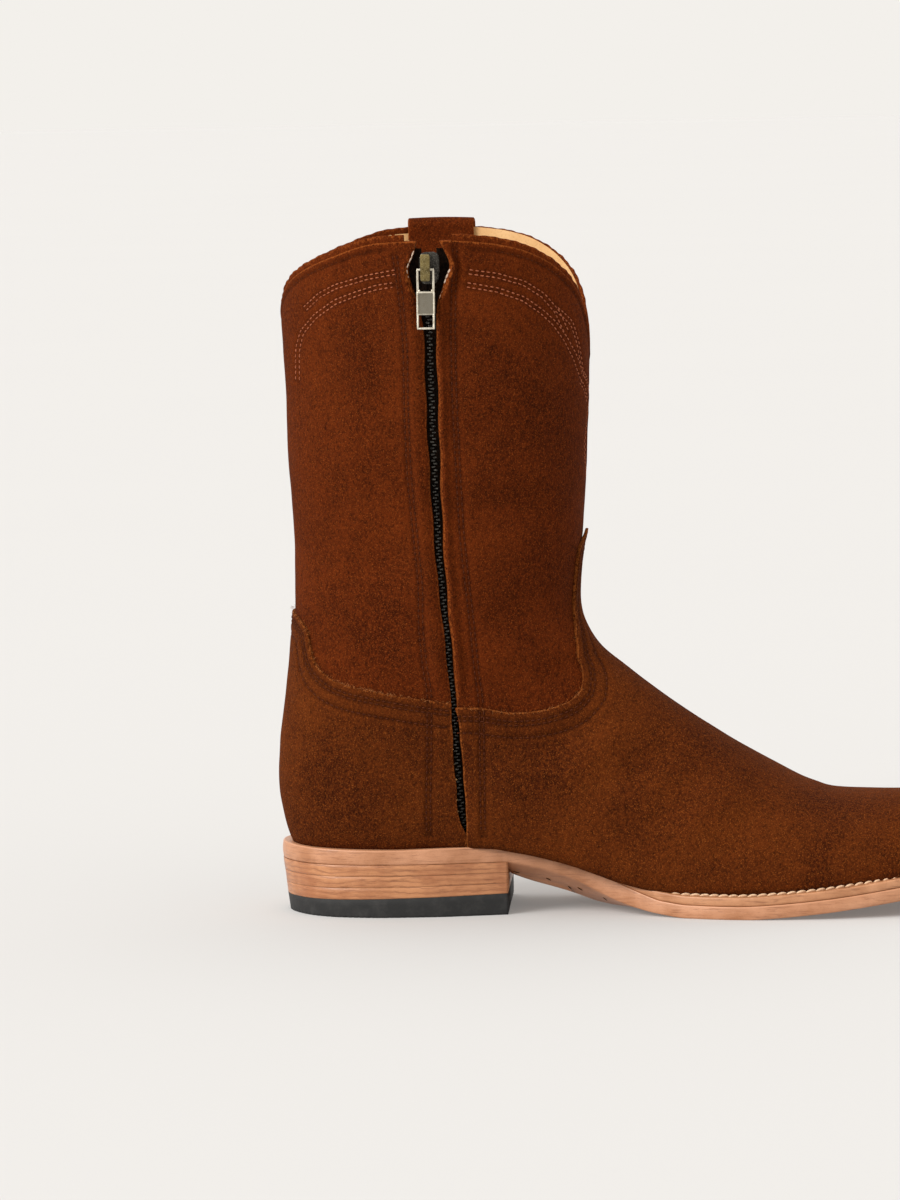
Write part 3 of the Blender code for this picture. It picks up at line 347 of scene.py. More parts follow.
plan_turn = np.arccos(1 - 2 * column(PLAN, "along"))
plan_medial = keyed(plan_turn, column(PLAN, "medial") * BALL_WIDTH)
plan_lateral = keyed(plan_turn, column(PLAN, "lateral") * BALL_WIDTH)
PROFILES = {name: keyed(column(PROFILE, "along"), column(PROFILE, name))
            for name in PROFILE[0]._fields}
FOREFOOT_THICKNESS = OUTSOLE_THICKNESS + GAP + WELT_THICKNESS
BREAST = HEEL_BACK + HEEL_LENGTH
SEAT_BOTTOM = SEAT_HEIGHT - SEAT_THICKNESS


def sole_half(x, side):
    turn = np.arccos(np.clip(1 - 2 * share_of(x), -1.0, 1.0))
    return np.where(side < 0, plan_medial(turn), plan_lateral(turn))


def profile(x, name):
    return PROFILES[name](share_of(x))


def sole_top(x, y):
    return (profile(x, "seat") * SEAT_HEIGHT + profile(x, "spring") * TOE_SPRING
            - profile(x, "lean") * y)


def welt_cover(x):
    return np.clip((x - HEEL_BACK - WELT_START) / WELT_TAPER, 0.0, 1.0)


def over_sole(points):
    """Height of points over the sole's top."""
    return points[..., 2] - sole_top(points[..., 0], points[..., 1])


def outsole_top(x, y):
    return sole_top(x, y) - (WELT_THICKNESS + GAP) * welt_cover(x)


def outsole_bottom(x, y):
    waist = WAIST_THICKNESS + (FOREFOOT_THICKNESS - WAIST_THICKNESS) * profile(x, "welted")
    half = sole_half(x, np.sign(y))
    share = np.minimum(np.abs(y) / np.maximum(half, 1 * MM), 1.0)
    domed = sole_top(x, y) - waist - profile(x, "dome") * WAIST_DOME * (1 - share ** 2)
    return np.where(x <= BREAST, SEAT_BOTTOM, np.maximum(domed, 0.0))


ANKLE_Z = FOOT[-1].top_z * INSTEP_HEIGHT


def foot_row(row):
    bottom_x = along_x(row.bottom_x)
    bottom_z = float(sole_top(bottom_x, 0)) - row.sunk * SEAT_HEIGHT
    return (along_x(row.top_x), row.top_z * INSTEP_HEIGHT, bottom_x, bottom_z,
            row.medial * BALL_WIDTH, row.lateral * BALL_WIDTH, row.widest, row.above, row.below)


def shaft_row(row):
    half = row.half * SHAFT_WIDTH
    return (along_x(row.front_x), ANKLE_Z + row.front_z * (SHAFT_HEIGHT - ANKLE_Z),
            along_x(row.back_x), row.back_z * SHAFT_HEIGHT, half, half, row.widest,
            row.above, row.below)


SECTIONS = np.array([foot_row(row) for row in FOOT] + [shaft_row(row) for row in SHAFT])
LAST_ROW = len(SECTIONS) - 1.0
ANKLE_ROW = len(FOOT)


def surface(place, angle):
    """Upper's outer surface: angle 0 is top or front, 90 degrees medial, 180 the bottom."""
    place, angle = np.broadcast_arrays(place, angle)
    rows = np.moveaxis(by_row(SECTIONS, place), -1, 0)
    top_x, top_z, bottom_x, bottom_z, medial, lateral, widest, above, below = rows
    centre_x = bottom_x + (top_x - bottom_x) * widest
    centre_z = bottom_z + (top_z - bottom_z) * widest
    cos, sin = np.cos(angle), np.sin(angle)
    front = cos >= 0
    power = 2 / np.where(front, above, below)
    reach = np.sign(cos) * np.abs(cos) ** power
    out = np.sign(sin) * np.abs(sin) ** power
    arm_x = np.where(front, top_x - centre_x, centre_x - bottom_x)
    arm_z = np.where(front, top_z - centre_z, centre_z - bottom_z)
    width = np.where(sin >= 0, medial, lateral)
    return np.stack([centre_x + arm_x * reach, -width * out, centre_z + arm_z * reach], -1)


def unit(vectors):
    return vectors / np.maximum(np.linalg.norm(vectors, axis=-1, keepdims=True), 1e-12)


def outward(place, angle):
    step = 0.02
    ahead = surface(np.minimum(place + step, LAST_ROW), angle)
    back = surface(np.maximum(place - step, 0.0), angle)
    around = surface(place, angle + step) - surface(place, angle - step)
    return unit(np.cross(ahead - back, around))


def raised(place, angle, offset):
    """Surface points moved outwards by an offset."""
    return surface(place, angle) + outward(place, angle) * np.asarray(offset)[..., None]


def locate(target, place, angle, axes=(0, 1, 2), rounds=24):
    """Place and angle of the surface points nearest to targets, over the named axes."""
    step = 0.004
    axes = list(axes)
    place = np.broadcast_to(np.asarray(place, float), target.shape[:-1]).copy()
    angle = np.broadcast_to(np.asarray(angle, float), target.shape[:-1]).copy()
    for _ in range(rounds):
        here = surface(place, angle)
        miss = (target - here)[..., axes]
        up = ((surface(place + step, angle) - here) / step)[..., axes]
        round_ = ((surface(place, angle + step) - here) / step)[..., axes]
        uu, ur, rr = (up * up).sum(-1), (up * round_).sum(-1), (round_ * round_).sum(-1)
        um, rm = (up * miss).sum(-1), (round_ * miss).sum(-1)
        size = uu * rr - ur * ur + 1e-16
        place += np.clip((um * rr - rm * ur) / size, -0.6, 0.6)
        angle += np.clip((uu * rm - ur * um) / size, -0.2, 0.2)
        place = np.clip(place, 0.2, LAST_ROW - 0.01)
    return place, angle


def on_side(x, z, side):
    """Place and angle of surface points seen at x, z from the side: +1 medial, -1 lateral."""
    target = np.stack([np.asarray(x, float), np.zeros(len(x)), np.asarray(z, float)], -1)
    return locate(target, ANKLE_ROW + 3.0, math.pi / 2 * side, (0, 2), 40)


def on_front(y, z):
    """Place and angle of surface points seen at y, z from the front."""
    target = np.stack([np.zeros(len(y)), np.asarray(y, float), np.asarray(z, float)], -1)
    return locate(target, ANKLE_ROW + 3.0, -np.asarray(y, float) / (SHAFT_WIDTH / 2), (1, 2), 40)


def solve(function, low, high, rounds=26):
    """Where a falling function of one value crosses zero, by halving."""
    for _ in range(rounds):
        middle = (low + high) / 2
        above = function(middle) > 0
        low, high = np.where(above, middle, low), np.where(above, high, middle)
    return (low + high) / 2


collar_curve = keyed(column(COLLAR, "angle"), column(COLLAR, "height") * SHAFT_HEIGHT)
zip_line = keyed(column(ZIP, "height") * SHAFT_HEIGHT, along_x(column(ZIP, "x")))
zip_opening = keyed(column(ZIP, "height") * SHAFT_HEIGHT,
                    column(ZIP, "opening") * SLIT_WIDTH / 2)


def bead_top(angle):
    turned = np.degrees(angle) % 360
    return collar_curve(np.minimum(turned, 360 - turned))


def collar_edge(angle):
    return bead_top(angle) - BEAD_STAND


def place_at_height(angle, z):
    low = np.full(np.shape(angle), ANKLE_ROW + 1.0)
    return solve(lambda place: z - surface(place, angle)[..., 2], low, low * 0 + LAST_ROW)


# The lasted edge of the vamp and the counter lies this much over the sole
EDGE_LIFT = 0.5 * MM


def sole_angle(place, side):
    """Angle, counted from the top, where the surface meets the sole on one side."""
    def over(turn):
        return over_sole(surface(place, turn * side)) - EDGE_LIFT

    low = np.full(np.shape(place), math.radians(55))
    return solve(over, low, low * 0 + math.pi)


def lip_angle(place, sign):
    """Angle of the zip's lip: sign +1 is the front lip, -1 the back lip."""
    def ahead(turn):
        point = surface(place, turn)
        z = point[..., 2]
        return point[..., 0] - zip_line(z) - sign * zip_opening(z)

    low = np.full(np.shape(place), math.radians(50))
    return solve(ahead, low, low * 0 + math.radians(140))


def arc_lengths(points):
    steps = np.linalg.norm(np.diff(points, axis=0), axis=-1)
    return np.concatenate([[0.0], np.cumsum(steps)])


def evenly(points, count, *others):
    """Points, and other values at them, spaced evenly along a line."""
    length = arc_lengths(points)
    at = np.linspace(0, length[-1], count)

    def resample(values):
        if values.ndim == 1:
            return np.interp(at, length, values)
        return np.stack([np.interp(at, length, part) for part in values.T], -1)

    return [resample(values) for values in (points, *others)]


# Making pieces

def grid_faces(rows, columns, start=0, wrap=False):
    index = start + np.arange(rows * columns).reshape(rows, columns)
    if wrap:
        index = np.hstack([index, index[:, :1]])
    corners = (index[:-1, :-1], index[:-1, 1:], index[1:, 1:], index[1:, :-1])
    return np.stack(corners, -1).reshape(-1, 4)


def add_piece(name, points, faces, material, nodes=(), body="boot", marks=None, smooth=True):
    """Mesh piece that rides on a body and may stand for CAD nodes."""
    mesh = bpy.data.meshes.new(name)
    mesh.from_pydata(np.reshape(points, (-1, 3)).tolist(), [], [list(face) for face in faces])
    for key, values in (marks or {}).items():
        attribute = mesh.attributes.new(key, "FLOAT", "POINT")
        attribute.data.foreach_set("value", np.ravel(values).astype(np.float32))
    mesh.materials.append(material)
    if smooth:
        mesh.shade_smooth()
    piece = bpy.data.objects.new(name, mesh)
    bpy.context.scene.collection.objects.link(piece)
    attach(piece, body)
    if nodes:
        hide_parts(*nodes)
    return piece


# Reliefs: soft creases and puffs over the upper's pieces. side: -1 medial, 1 lateral, the ends
# of each fold in side view, its width and its depth, all in millimetres
FOLDS = table("side x1 z1 x2 z2 width depth", [
    # Dents round the throat and over the ball, medial side
    (-1, 62, 66, 82, 82, 7.0, -1.5),
    (-1, 74, 58, 92, 76, 6.0, 0.9),
    (-1, 50, 74, 60, 62, 6.0, -0.9),
    (-1, 44, 60, 52, 44, 7.0, 0.7),
    (-1, 92, 52, 112, 68, 7.5, -1.1),
    (-1, 108, 40, 124, 58, 7.0, -1.0),
    (-1, 118, 34, 138, 50, 7.0, 0.8),
    (-1, 134, 30, 150, 44, 7.0, -0.7),
    (-1, 84, 40, 96, 52, 7.0, 0.7),
    # The same on the lateral side
    (1, 60, 64, 84, 80, 7.5, -1.3),
    (1, 76, 56, 96, 74, 7.0, 0.8),
    (1, 104, 38, 122, 58, 8.0, -1.1),
    (1, 122, 34, 140, 50, 7.0, 0.7),
    (1, 40, 70, 58, 60, 8.0, -0.8),
    # Shaft: ankle folds and long soft waves
    (-1, 40, 168, 64, 163, 8.0, -1.1),
    (-1, 38, 182, 66, 179, 9.0, 0.6),
    (-1, 42, 120, 64, 126, 8.0, -0.8),
    (-1, 42, 106, 76, 108, 7.0, 0.8),
    (-1, -34, 150, 2, 142, 10.0, -1.0),
    (-1, -36, 182, 0, 190, 12.0, 0.9),
    (-1, -34, 214, 4, 206, 11.0, -0.8),
    (-1, 42, 208, 64, 218, 11.0, 0.6),
    (1, 26, 172, 62, 164, 9.0, -1.2),
    (1, -34, 158, 20, 146, 11.0, -1.1),
    (1, 34, 124, 62, 128, 8.0, -0.9),
    (1, 20, 110, 70, 108, 8.0, 0.9),
    (1, -36, 196, 20, 204, 13.0, 0.9),
    (1, 30, 226, 62, 218, 11.0, -0.6),
])

FOLD_STRENGTH = 1.5


def near_segment(across, up, start, end, width):
    """Soft weight, 1 on a segment and falling off over a width."""
    start, end = np.array(start, float), np.array(end, float)
    line = end - start
    length = np.linalg.norm(line)
    along = ((across - start[0]) * line[0] + (up - start[1]) * line[1]) / length ** 2
    held = np.clip(along, 0, 1)
    away = np.hypot(across - start[0] - held * line[0], up - start[1] - held * line[1])
    ends = bell(np.abs(along - 0.5), 0.62, 4)
    return bell(away, width) * ends


WAVES = np.random.default_rng(7).uniform(-1, 1, (14, 8))
LEAST_PITCH = 16 * MM
PITCH_SPREAD = 30 * MM


def slow_waves(points):
    """Small random waves that break up the even surface."""
    total = np.zeros(points.shape[:-1])
    for row in WAVES:
        pitch = LEAST_PITCH + PITCH_SPREAD * (row[0] + 1) / 2
        phase = (points @ unit(row[1:4])) * 2 * math.pi / pitch + row[4] * 9
        other = (points @ unit(row[5:8])) * 2 * math.pi / (pitch * 2.3) + row[0] * 5
        total += np.sin(phase) * np.sin(other)
    return total / len(WAVES)


def relief(points):
    """Height of the folds over the true surface, in metres."""
    x, y, z = (points[..., axis] / MM for axis in range(3))
    height = slow_waves(points) * 0.5
    for fold in FOLDS:
        on_this_side = 1 / (1 + np.exp(-(y * fold.side + 2) / 5))
        start, end = (fold.x1, fold.z1), (fold.x2, fold.z2)
        height = height + (FOLD_STRENGTH * fold.depth * on_this_side
                           * near_segment(x, z, start, end, fold.width))
    # Sag above the tongue, towards the inner side
    height = height - 0.5 * near_segment(y, z, (-22, 172), (-6, 163), 6) * (x > 40)
    # Flat near the sole, so that the lasted edge stays true, and calmer at the toe
    calm = ramp(z - sole_top(points[..., 0], points[..., 1]) / MM, 4, 14)
    toe = np.clip((215 - x) / 50, 0.25, 1)
    return height * MM * calm * toe


class Lines:
    """Nearest distance to stitch lines, for grooves and shade along them."""

    def __init__(self):
        self.points = []

    def add(self, points):
        self.points.append(np.asarray(points))

    def distance(self, points):
        everything = np.concatenate(self.points)
        tree = KDTree(len(everything))
        for index, point in enumerate(everything):
            tree.insert(point, index)
        tree.balance()
        flat = points.reshape(-1, 3)
        away = np.array([tree.find(point)[2] for point in flat])
        return away.reshape(points.shape[:-1])


def groove(away, width, depth):
    return -depth * bell(away, width)


# Materials

class Graph:
    """Short way to write a material's nodes."""

    def __init__(self, name, roughness, metallic=0.0, specular=0.5):
        self.material = bpy.data.materials.new(name)
        self.material.use_nodes = True
        self.tree = self.material.node_tree
        self.shader = self.tree.nodes["Principled BSDF"]
        self.set("Roughness", roughness)
        self.set("Metallic", metallic)
        self.set("Specular IOR Level", specular)
        self.place = self.node("ShaderNodeTexCoord").outputs["Object"]

    def node(self, kind, **settings):
        node = self.tree.nodes.new(kind)
        for key, value in settings.items():
            setattr(node, key, value)
        return node

    def link(self, value, socket):
        if isinstance(value, bpy.types.NodeSocket):
            self.tree.links.new(value, socket)
        else:
            socket.default_value = value

    def set(self, name, value):
        self.link(value, self.shader.inputs[name])

    def mark(self, name):
        return self.node("ShaderNodeAttribute", attribute_name=name).outputs["Fac"]

    def stretched(self, scale):
        mapping = self.node("ShaderNodeMapping")
        self.link(self.place, mapping.inputs["Vector"])
        mapping.inputs["Scale"].default_value = scale
        return mapping.outputs["Vector"]

    def noise(self, scale, detail=3.0, rough=0.5, vector=None, distort=0.0):
        node = self.node("ShaderNodeTexNoise")
        self.link(vector or self.place, node.inputs["Vector"])
        for key, value in (("Scale", scale), ("Detail", detail), ("Roughness", rough),
                           ("Distortion", distort)):
            node.inputs[key].default_value = value
        return node.outputs["Fac"]

    def cells(self, scale, vector=None, feature="F1"):
        node = self.node("ShaderNodeTexVoronoi", feature=feature)
        self.link(vector or self.place, node.inputs["Vector"])
        node.inputs["Scale"].default_value = scale
        return node.outputs["Distance"]

    def remap(self, value, low, high, to_low=0.0, to_high=1.0):
        node = self.node("ShaderNodeMapRange")
        for key, item in (("Value", value), ("From Min", low), ("From Max", high),
                          ("To Min", to_low), ("To Max", to_high)):
            self.link(item, node.inputs[key])
        return node.outputs["Result"]

    def math(self, operation, *values):
        node = self.node("ShaderNodeMath", operation=operation)
        for value, socket in zip(values, node.inputs):
            self.link(value, socket)
        return node.outputs["Value"]

    def mix(self, share, a, b, blend="MIX"):
        node = self.node("ShaderNodeMix", data_type="RGBA", blend_type=blend)
        self.link(share, node.inputs[0])
        self.link(a, node.inputs[6])
        self.link(b, node.inputs[7])
        return node.outputs[2]

    def height_of(self, axis):
        node = self.node("ShaderNodeSeparateXYZ")
        self.link(self.place, node.inputs["Vector"])
        return node.outputs[axis]

    def layers(self, colour, *rows):
        """Colours laid over each other: where a value goes from low to high, up to a share."""
        for value, low, high, share, over in rows:
            colour = self.mix(self.remap(value, low, high, 0.0, share), colour, over)
        return colour

    def shaded(self, colour, dark, light):
        """Darker and lighter by the piece's own marks: painted shade and painted highlight on the
        suede, painted shade where the upper meets the sole.
        """
        return self.mix(self.mark("light"), self.mix(self.mark("dark"), colour, dark), light)

    def bumps(self, *rows):
        """Bumps laid over each other: height, distance and strength of each."""
        normal = None
        for height, distance, strength in rows:
            node = self.node("ShaderNodeBump")
            node.inputs["Strength"].default_value = strength
            node.inputs["Distance"].default_value = distance
            self.link(height, node.inputs["Height"])
            if normal is not None:
                self.link(normal, node.inputs["Normal"])
            normal = node.outputs["Normal"]
        return normal

    def done(self, colour, normal=None):
        self.set("Base Color", colour)
        if normal is not None:
            self.set("Normal", normal)
        return self.material


def tone(red, green, blue):
    """Linear colour of a screen colour given in 0 to 255."""
    def linear(value):
        value /= 255
        return value / 12.92 if value <= 0.04045 else ((value + 0.055) / 1.055) ** 2.4

    return (linear(red), linear(green), linear(blue), 1.0)


def tones(colours):
    """Linear colours of several screen colours."""
    return [tone(*colour) for colour in colours]


def suede(name, *colours):
    """Napped leather with soft lighter and darker patches, raw edges and fine fibres."""
    base, light, dark, raw, speckle = tones(colours)
    graph = Graph(name, roughness=0.95, specular=0.04)
    graph.set("Sheen Weight", 0.06)
    graph.set("Sheen Roughness", 0.38)
    graph.set("Sheen Tint", speckle)
    broad = graph.noise(22, 3, 0.55, distort=0.5)
    patches = graph.noise(120, 4, 0.62, distort=0.6)
    tufts = graph.noise(420, 3, 0.6, graph.stretched((1.0, 1.0, 0.7)))
    nap = graph.noise(1150, 3, 0.7, graph.stretched((1.0, 1.0, 0.75)))
    grain = graph.noise(2400, 2, 0.6)
    colour = graph.layers(base, (broad, 0.38, 0.68, 0.75, light), (patches, 0.48, 0.70, 0.18, dark),
                          (tufts, 0.50, 0.70, 0.30, light), (tufts, 0.48, 0.30, 0.30, dark),
                          (nap, 0.50, 0.66, 0.80, light), (nap, 0.48, 0.34, 0.62, dark),
                          (grain, 0.57, 0.68, 0.60, speckle))
    # Painted shade in the stitch rows, above the sole and into the slit, and painted highlight
    # beside the rows, from the piece's dark and light marks
    colour = graph.shaded(colour, dark, light)
    # The edge mark gives the raw edge's colour; beside the slider it also carries the lips' painted
    # highlight
    ragged = graph.math("ADD", graph.mark("edge"), graph.remap(nap, 0.3, 0.7, -0.4, 0.4))
    fibre = graph.layers(raw, (grain, 0.35, 0.65, 1.0, light))
    colour = graph.layers(colour, (ragged, 0.50, 0.80, 0.85, fibre))
    return graph.done(colour, graph.bumps((patches, 0.0012, 0.30), (tufts, 0.0007, 0.45),
                                          (nap, 0.0006, 0.70), (grain, 0.00025, 0.6)))


def sole_edge(name, *colours, layer=0.0, coat=0.25):
    """Sanded and waxed leather edge with streaks along its layers."""
    base, light, dark = tones(colours)
    graph = Graph(name, roughness=0.42, specular=0.45)
    graph.set("Coat Weight", coat)
    graph.set("Coat Roughness", 0.32)
    streaks = graph.noise(320, 4, 0.62, graph.stretched((0.35, 0.35, 4.2)), 0.6)
    clouds = graph.noise(75, 3, 0.55)
    pores = graph.noise(1500, 3, 0.6, graph.stretched((1.0, 1.0, 1.8)))
    colour = graph.layers(base, (clouds, 0.36, 0.68, 1.0, light), (streaks, 0.46, 0.30, 0.65, dark),
                          (streaks, 0.54, 0.72, 0.5, light), (pores, 0.55, 0.75, 0.35, dark))
    if layer:
        sway = graph.remap(graph.noise(60, 3, 0.6), 0.2, 0.8, -0.0016, 0.0016)
        wavy = graph.math("ADD", graph.height_of("Z"), sway)
        turns = graph.math("SINE", graph.math("MULTIPLY", wavy, 2 * math.pi / layer))
        share = graph.remap(clouds, 0.35, 0.65, 0.1, 0.5)
        for low, high, over in ((0.4, 1.0, light), (-0.5, -1.0, dark)):
            streak = graph.math("MULTIPLY", share, graph.remap(turns, low, high))
            colour = graph.mix(streak, colour, over)
    # The dark mark paints shade where the upper meets the welt and the outsole, and darkens the
    # outsole's bottom face and the joints between the heel's lifts; the light mark makes the
    # outsole's top face lighter
    colour = graph.shaded(colour, dark, light)
    graph.set("Roughness", graph.remap(streaks, 0.3, 0.7, 0.36, 0.58))
    return graph.done(colour, graph.bumps((streaks, 0.0006, 0.30), (pores, 0.0002, 0.35)))


def rubber_look():
    graph = Graph("heel_rubber", roughness=0.68, specular=0.35)
    dust = graph.noise(260, 4, 0.6)
    fine = graph.noise(1800, 3, 0.6)
    colour = graph.layers(tone(34, 34, 34), (dust, 0.45, 0.75, 0.5, tone(58, 57, 56)))
    return graph.done(colour, graph.bumps((fine, 0.0002, 0.4)))


def metal(name, *colours, roughness=0.36):
    """Cast metal with dark stains, light specks that are partly wear and partly painted glints, and
    painted shade where its dark mark is set.
    """
    base, stained, wear_and_glint = tones(colours)
    graph = Graph(name, roughness=roughness, metallic=0.85)
    stain = graph.noise(420, 4, 0.6)
    fine = graph.noise(2600, 3, 0.6)
    colour = graph.layers(base, (stain, 0.38, 0.68, 1.0, stained), (fine, 0.52, 0.72, 0.6, wear_and_glint))
    # The dark mark paints shade into the pull's sunk panel and the bar below it
    colour = graph.mix(graph.mark("dark"), colour, tone(96, 90, 78))
    graph.set("Roughness", graph.remap(stain, 0.3, 0.7, roughness - 0.1, roughness + 0.15))
    return graph.done(colour, graph.bumps((fine, 0.00015, 0.35)))


def woven_tape():
    graph = Graph("zip_fabric", roughness=0.95, specular=0.05)
    weave = graph.cells(1500, graph.stretched((1.0, 1.0, 0.6)))
    clouds = graph.noise(300, 3, 0.6)
    colour = graph.layers(tone(28, 18, 12), (weave, 0.2, 0.8, 1.0, tone(10, 6, 4)),
                          (clouds, 0.5, 0.75, 0.4, tone(42, 27, 17)))
    return graph.done(colour, graph.bumps((weave, 0.0003, 0.6)))


def smooth_leather(name, *colours):
    base, light, dark = tones(colours)
    graph = Graph(name, roughness=0.6, specular=0.3)
    clouds = graph.noise(60, 4, 0.6)
    pores = graph.cells(1100, feature="SMOOTH_F1")
    colour = graph.layers(base, (clouds, 0.35, 0.7, 1.0, light), (pores, 0.35, 0.05, 0.3, dark))
    colour = graph.mix(graph.mark("dark"), colour, dark)
    return graph.done(colour, graph.bumps((pores, 0.0003, 0.3)))


def thread(name, *colours):
    base, light, dark = tones(colours)
    graph = Graph(name, roughness=0.85, specular=0.05)
    twist = graph.noise(1400, 3, 0.6, graph.stretched((1.0, 1.0, 1.6)))
    colour = graph.layers(dark, (twist, 0.35, 0.65, 1.0, light))
    colour = graph.mix(0.45, colour, base)
    return graph.done(colour, graph.bumps((twist, 0.0002, 0.5)))


def floor_look():
    """Pale floor that gives back a little light, so that it meets the backdrop without a seam."""
    graph = Graph("floor", roughness=0.9, specular=0.1)
    clouds = graph.noise(2.0, 2, 0.5)
    graph.set("Emission Color", (1.0, 0.972, 0.930, 1.0))
    graph.set("Emission Strength", 0.15)
    return graph.done(graph.layers((0.484, 0.480, 0.478, 1),
                                   (clouds, 0.3, 0.7, 1.0, (0.481, 0.477, 0.475, 1))))


# Tones are given as base, lighter, darker; suede has a raw edge's and a speckle's tone too
SHAFT_SUEDE = suede("shaft_suede", (64, 23, 5), (98, 40, 10), (32, 9, 2), (152, 82, 34),
                    (146, 74, 28))
VAMP_SUEDE = suede("vamp_suede", (60, 23, 6), (96, 44, 12), (30, 10, 2), (150, 84, 36),
                   (150, 82, 32))
SOLE_LEATHER = sole_edge("sole_leather", (168, 112, 74), (196, 140, 104), (124, 74, 44))
WELT_LEATHER = sole_edge("welt_leather", (164, 108, 68), (194, 138, 98), (118, 70, 40))
HEEL_LEATHER = sole_edge("heel_leather", (158, 98, 58), (190, 130, 86), (112, 62, 32),
                         layer=2.2 * MM, coat=0.3)
HEEL_RUBBER = rubber_look()
ZIP_METAL = metal("zip_metal", (128, 112, 70), (84, 72, 42), (186, 172, 128))
TEETH_METAL = metal("teeth_metal", (56, 53, 49), (20, 18, 16), (150, 145, 134))
PULL_METAL = metal("pull_metal", (216, 208, 190), (168, 158, 138), (244, 240, 230),
                   roughness=0.34)
ZIP_FABRIC = woven_tape()
LINING = smooth_leather("lining_leather", (206, 160, 104), (222, 182, 130), (160, 112, 64))
SOCK = smooth_leather("insole_leather", (190, 142, 92), (208, 164, 114), (140, 98, 58))
SEAM_THREAD = thread("seam_thread", (58, 24, 12), (116, 62, 38), (24, 8, 4))
COLLAR_THREAD = thread("collar_thread", (150, 80, 50), (196, 124, 92), (92, 38, 18))
WELT_THREAD = thread("welt_thread", (222, 184, 148), (240, 212, 182), (172, 124, 90))
WHITE_THREAD = thread("white_thread", (196, 170, 148), (226, 208, 190), (140, 108, 84))
# Painted shade for the peg holes in the waist
PEG_DARK = thread("peg_dark", (56, 34, 20), (74, 48, 30), (32, 18, 10))
FIBRE = thread("raw_fibre", (168, 104, 58), (200, 142, 92), (110, 60, 30))


# The shaft

def clustered(count, strength):
    """Shares from 0 to 1, closer together at both ends."""
    v = np.linspace(0, 1, count)
    return v - strength * np.sin(2 * math.pi * v) / (2 * math.pi)


LIP_PLACES = np.linspace(12.5, LAST_ROW, 400)
FRONT_LIP = lip_angle(LIP_PLACES, 1)
BACK_LIP = lip_angle(LIP_PLACES, -1)


def shaft_grid(rows, columns, low_place):
    """Places and angles of the shaft, from the front lip round to the back lip."""
    s = clustered(columns, 0.62)[None, :]
    t = np.linspace(0, 1, rows)[:, None]
    angle = math.pi / 2 - 2 * math.pi * s + 0 * t
    for _ in range(4):
        top = place_at_height(angle[-1], collar_edge(angle[-1]))
        place = low_place + (top[None, :] - low_place) * t
        front = np.interp(place[:, :1], LIP_PLACES, FRONT_LIP)
        back = np.interp(place[:, -1:], LIP_PLACES, BACK_LIP) - 2 * math.pi
        angle = front + (back - front) * s
    return place, angle


def lip_reach(place, angle):
    """Distances to the front and to the back lip, in millimetres; far from them a metre."""
    point = surface(place, angle)
    medial = np.sin(angle) > 0.2
    gap = point[..., 0] - zip_line(point[..., 2])
    half = zip_opening(point[..., 2])
    reaches = (np.where(medial, across - half, 1.0) for across in (gap, -gap))
    return [np.where(reach > -1 * MM, np.maximum(reach, 0), 1.0) / MM for reach in reaches]


# Heights along the zip in millimetres: where the puffs and the waves start, where the lips
# gape most, the slider's middle, the middle of the back lip's waves and the top under the binding
PUFF_Z, SWAY_Z, FLARE_Z, SLIDER_Z, BACK_SWAY_Z, LIP_TOP_Z = 84, 90, 257, 262, 264, 273


def lip_puff(place, angle):
    """Suede puffs out beside the zip and turns in at the lips."""
    z = surface(place, angle)[..., 2] / MM
    ahead, behind = lip_reach(place, angle)
    rise = ramp(z, PUFF_Z, 14)
    below_slider = np.clip((SLIDER_Z - z) / 20, 0, 1)
    below_collar = np.clip((LIP_TOP_Z - z) / 8, 0, 1)
    flared = bell(z - FLARE_Z, 9)
    uneven = 0.75 + 0.25 * np.sin(z / 7.3) * np.sin(z / 17.0 + 1)
    back = 1.9 * bell(behind - 4.2, 3.2) * below_slider + 1.3 * bell(behind - 1.2, 1.0) * flared
    front = (1.5 * bell(ahead - 1.4, 1.2) - 0.8 * bell(ahead - 4.3, 1.5)) * (1 + 0.6 * flared)
    turned = -0.5 * (bell(ahead, 0.8) + bell(behind, 0.8))
    return ((back + front * below_collar) * rise * uneven + turned) * MM


def lip_sway(place, angle):
    """Sideways waves of both lips round the slider, along X."""
    z = surface(place, angle)[..., 2] / MM
    ahead, behind = lip_reach(place, angle)
    grown = ramp(z, SWAY_Z, 20)
    front = 0.9 * np.sin((z - 258) / 3.3) * bell(z - SLIDER_Z, 8)
    back = 0.7 * np.sin((z - BACK_SWAY_Z) / 2.9) * bell(z - BACK_SWAY_Z, 7)
    front = front + 0.25 * np.sin(z / 4.1) * grown
    back = back + 0.22 * np.sin(z / 3.7 + 2) * grown
    return (front * bell(ahead, 4) + back * bell(behind, 3)) * MM


class Hide:
    """Leather grown from a grid of points, with rims of its own, and its marks of shade."""

    def __init__(self):
        self.points, self.faces, self.count = [], [], 0
        self.marks = {"edge": [], "dark": [], "light": []}

    def add(self, grid, edge, dark=0.0, light=0.0, flip=False):
        """Grid of points. Marks are given for each point, for each row or as one value."""
        shape = grid.shape[:2]
        quads = grid_faces(*shape, self.count)
        self.faces.append(quads[:, ::-1] if flip else quads)
        self.points.append(grid.reshape(-1, 3))
        for key, share in (("edge", edge), ("dark", dark), ("light", light)):
            share = np.asarray(share, float)
            if share.ndim == 1:
                share = share[:, None]
            self.marks[key].append(np.broadcast_to(share, shape).ravel())
        self.count += shape[0] * shape[1]

    def joined(self):
        marks = {key: np.concatenate(parts) for key, parts in self.marks.items()}
        return np.concatenate(self.points), np.concatenate(self.faces), marks


ROW_GROOVE = 0.9 * MM
SHAFT_GRID = (285, 312)
SHAFT_LOW_PLACE = 13.3
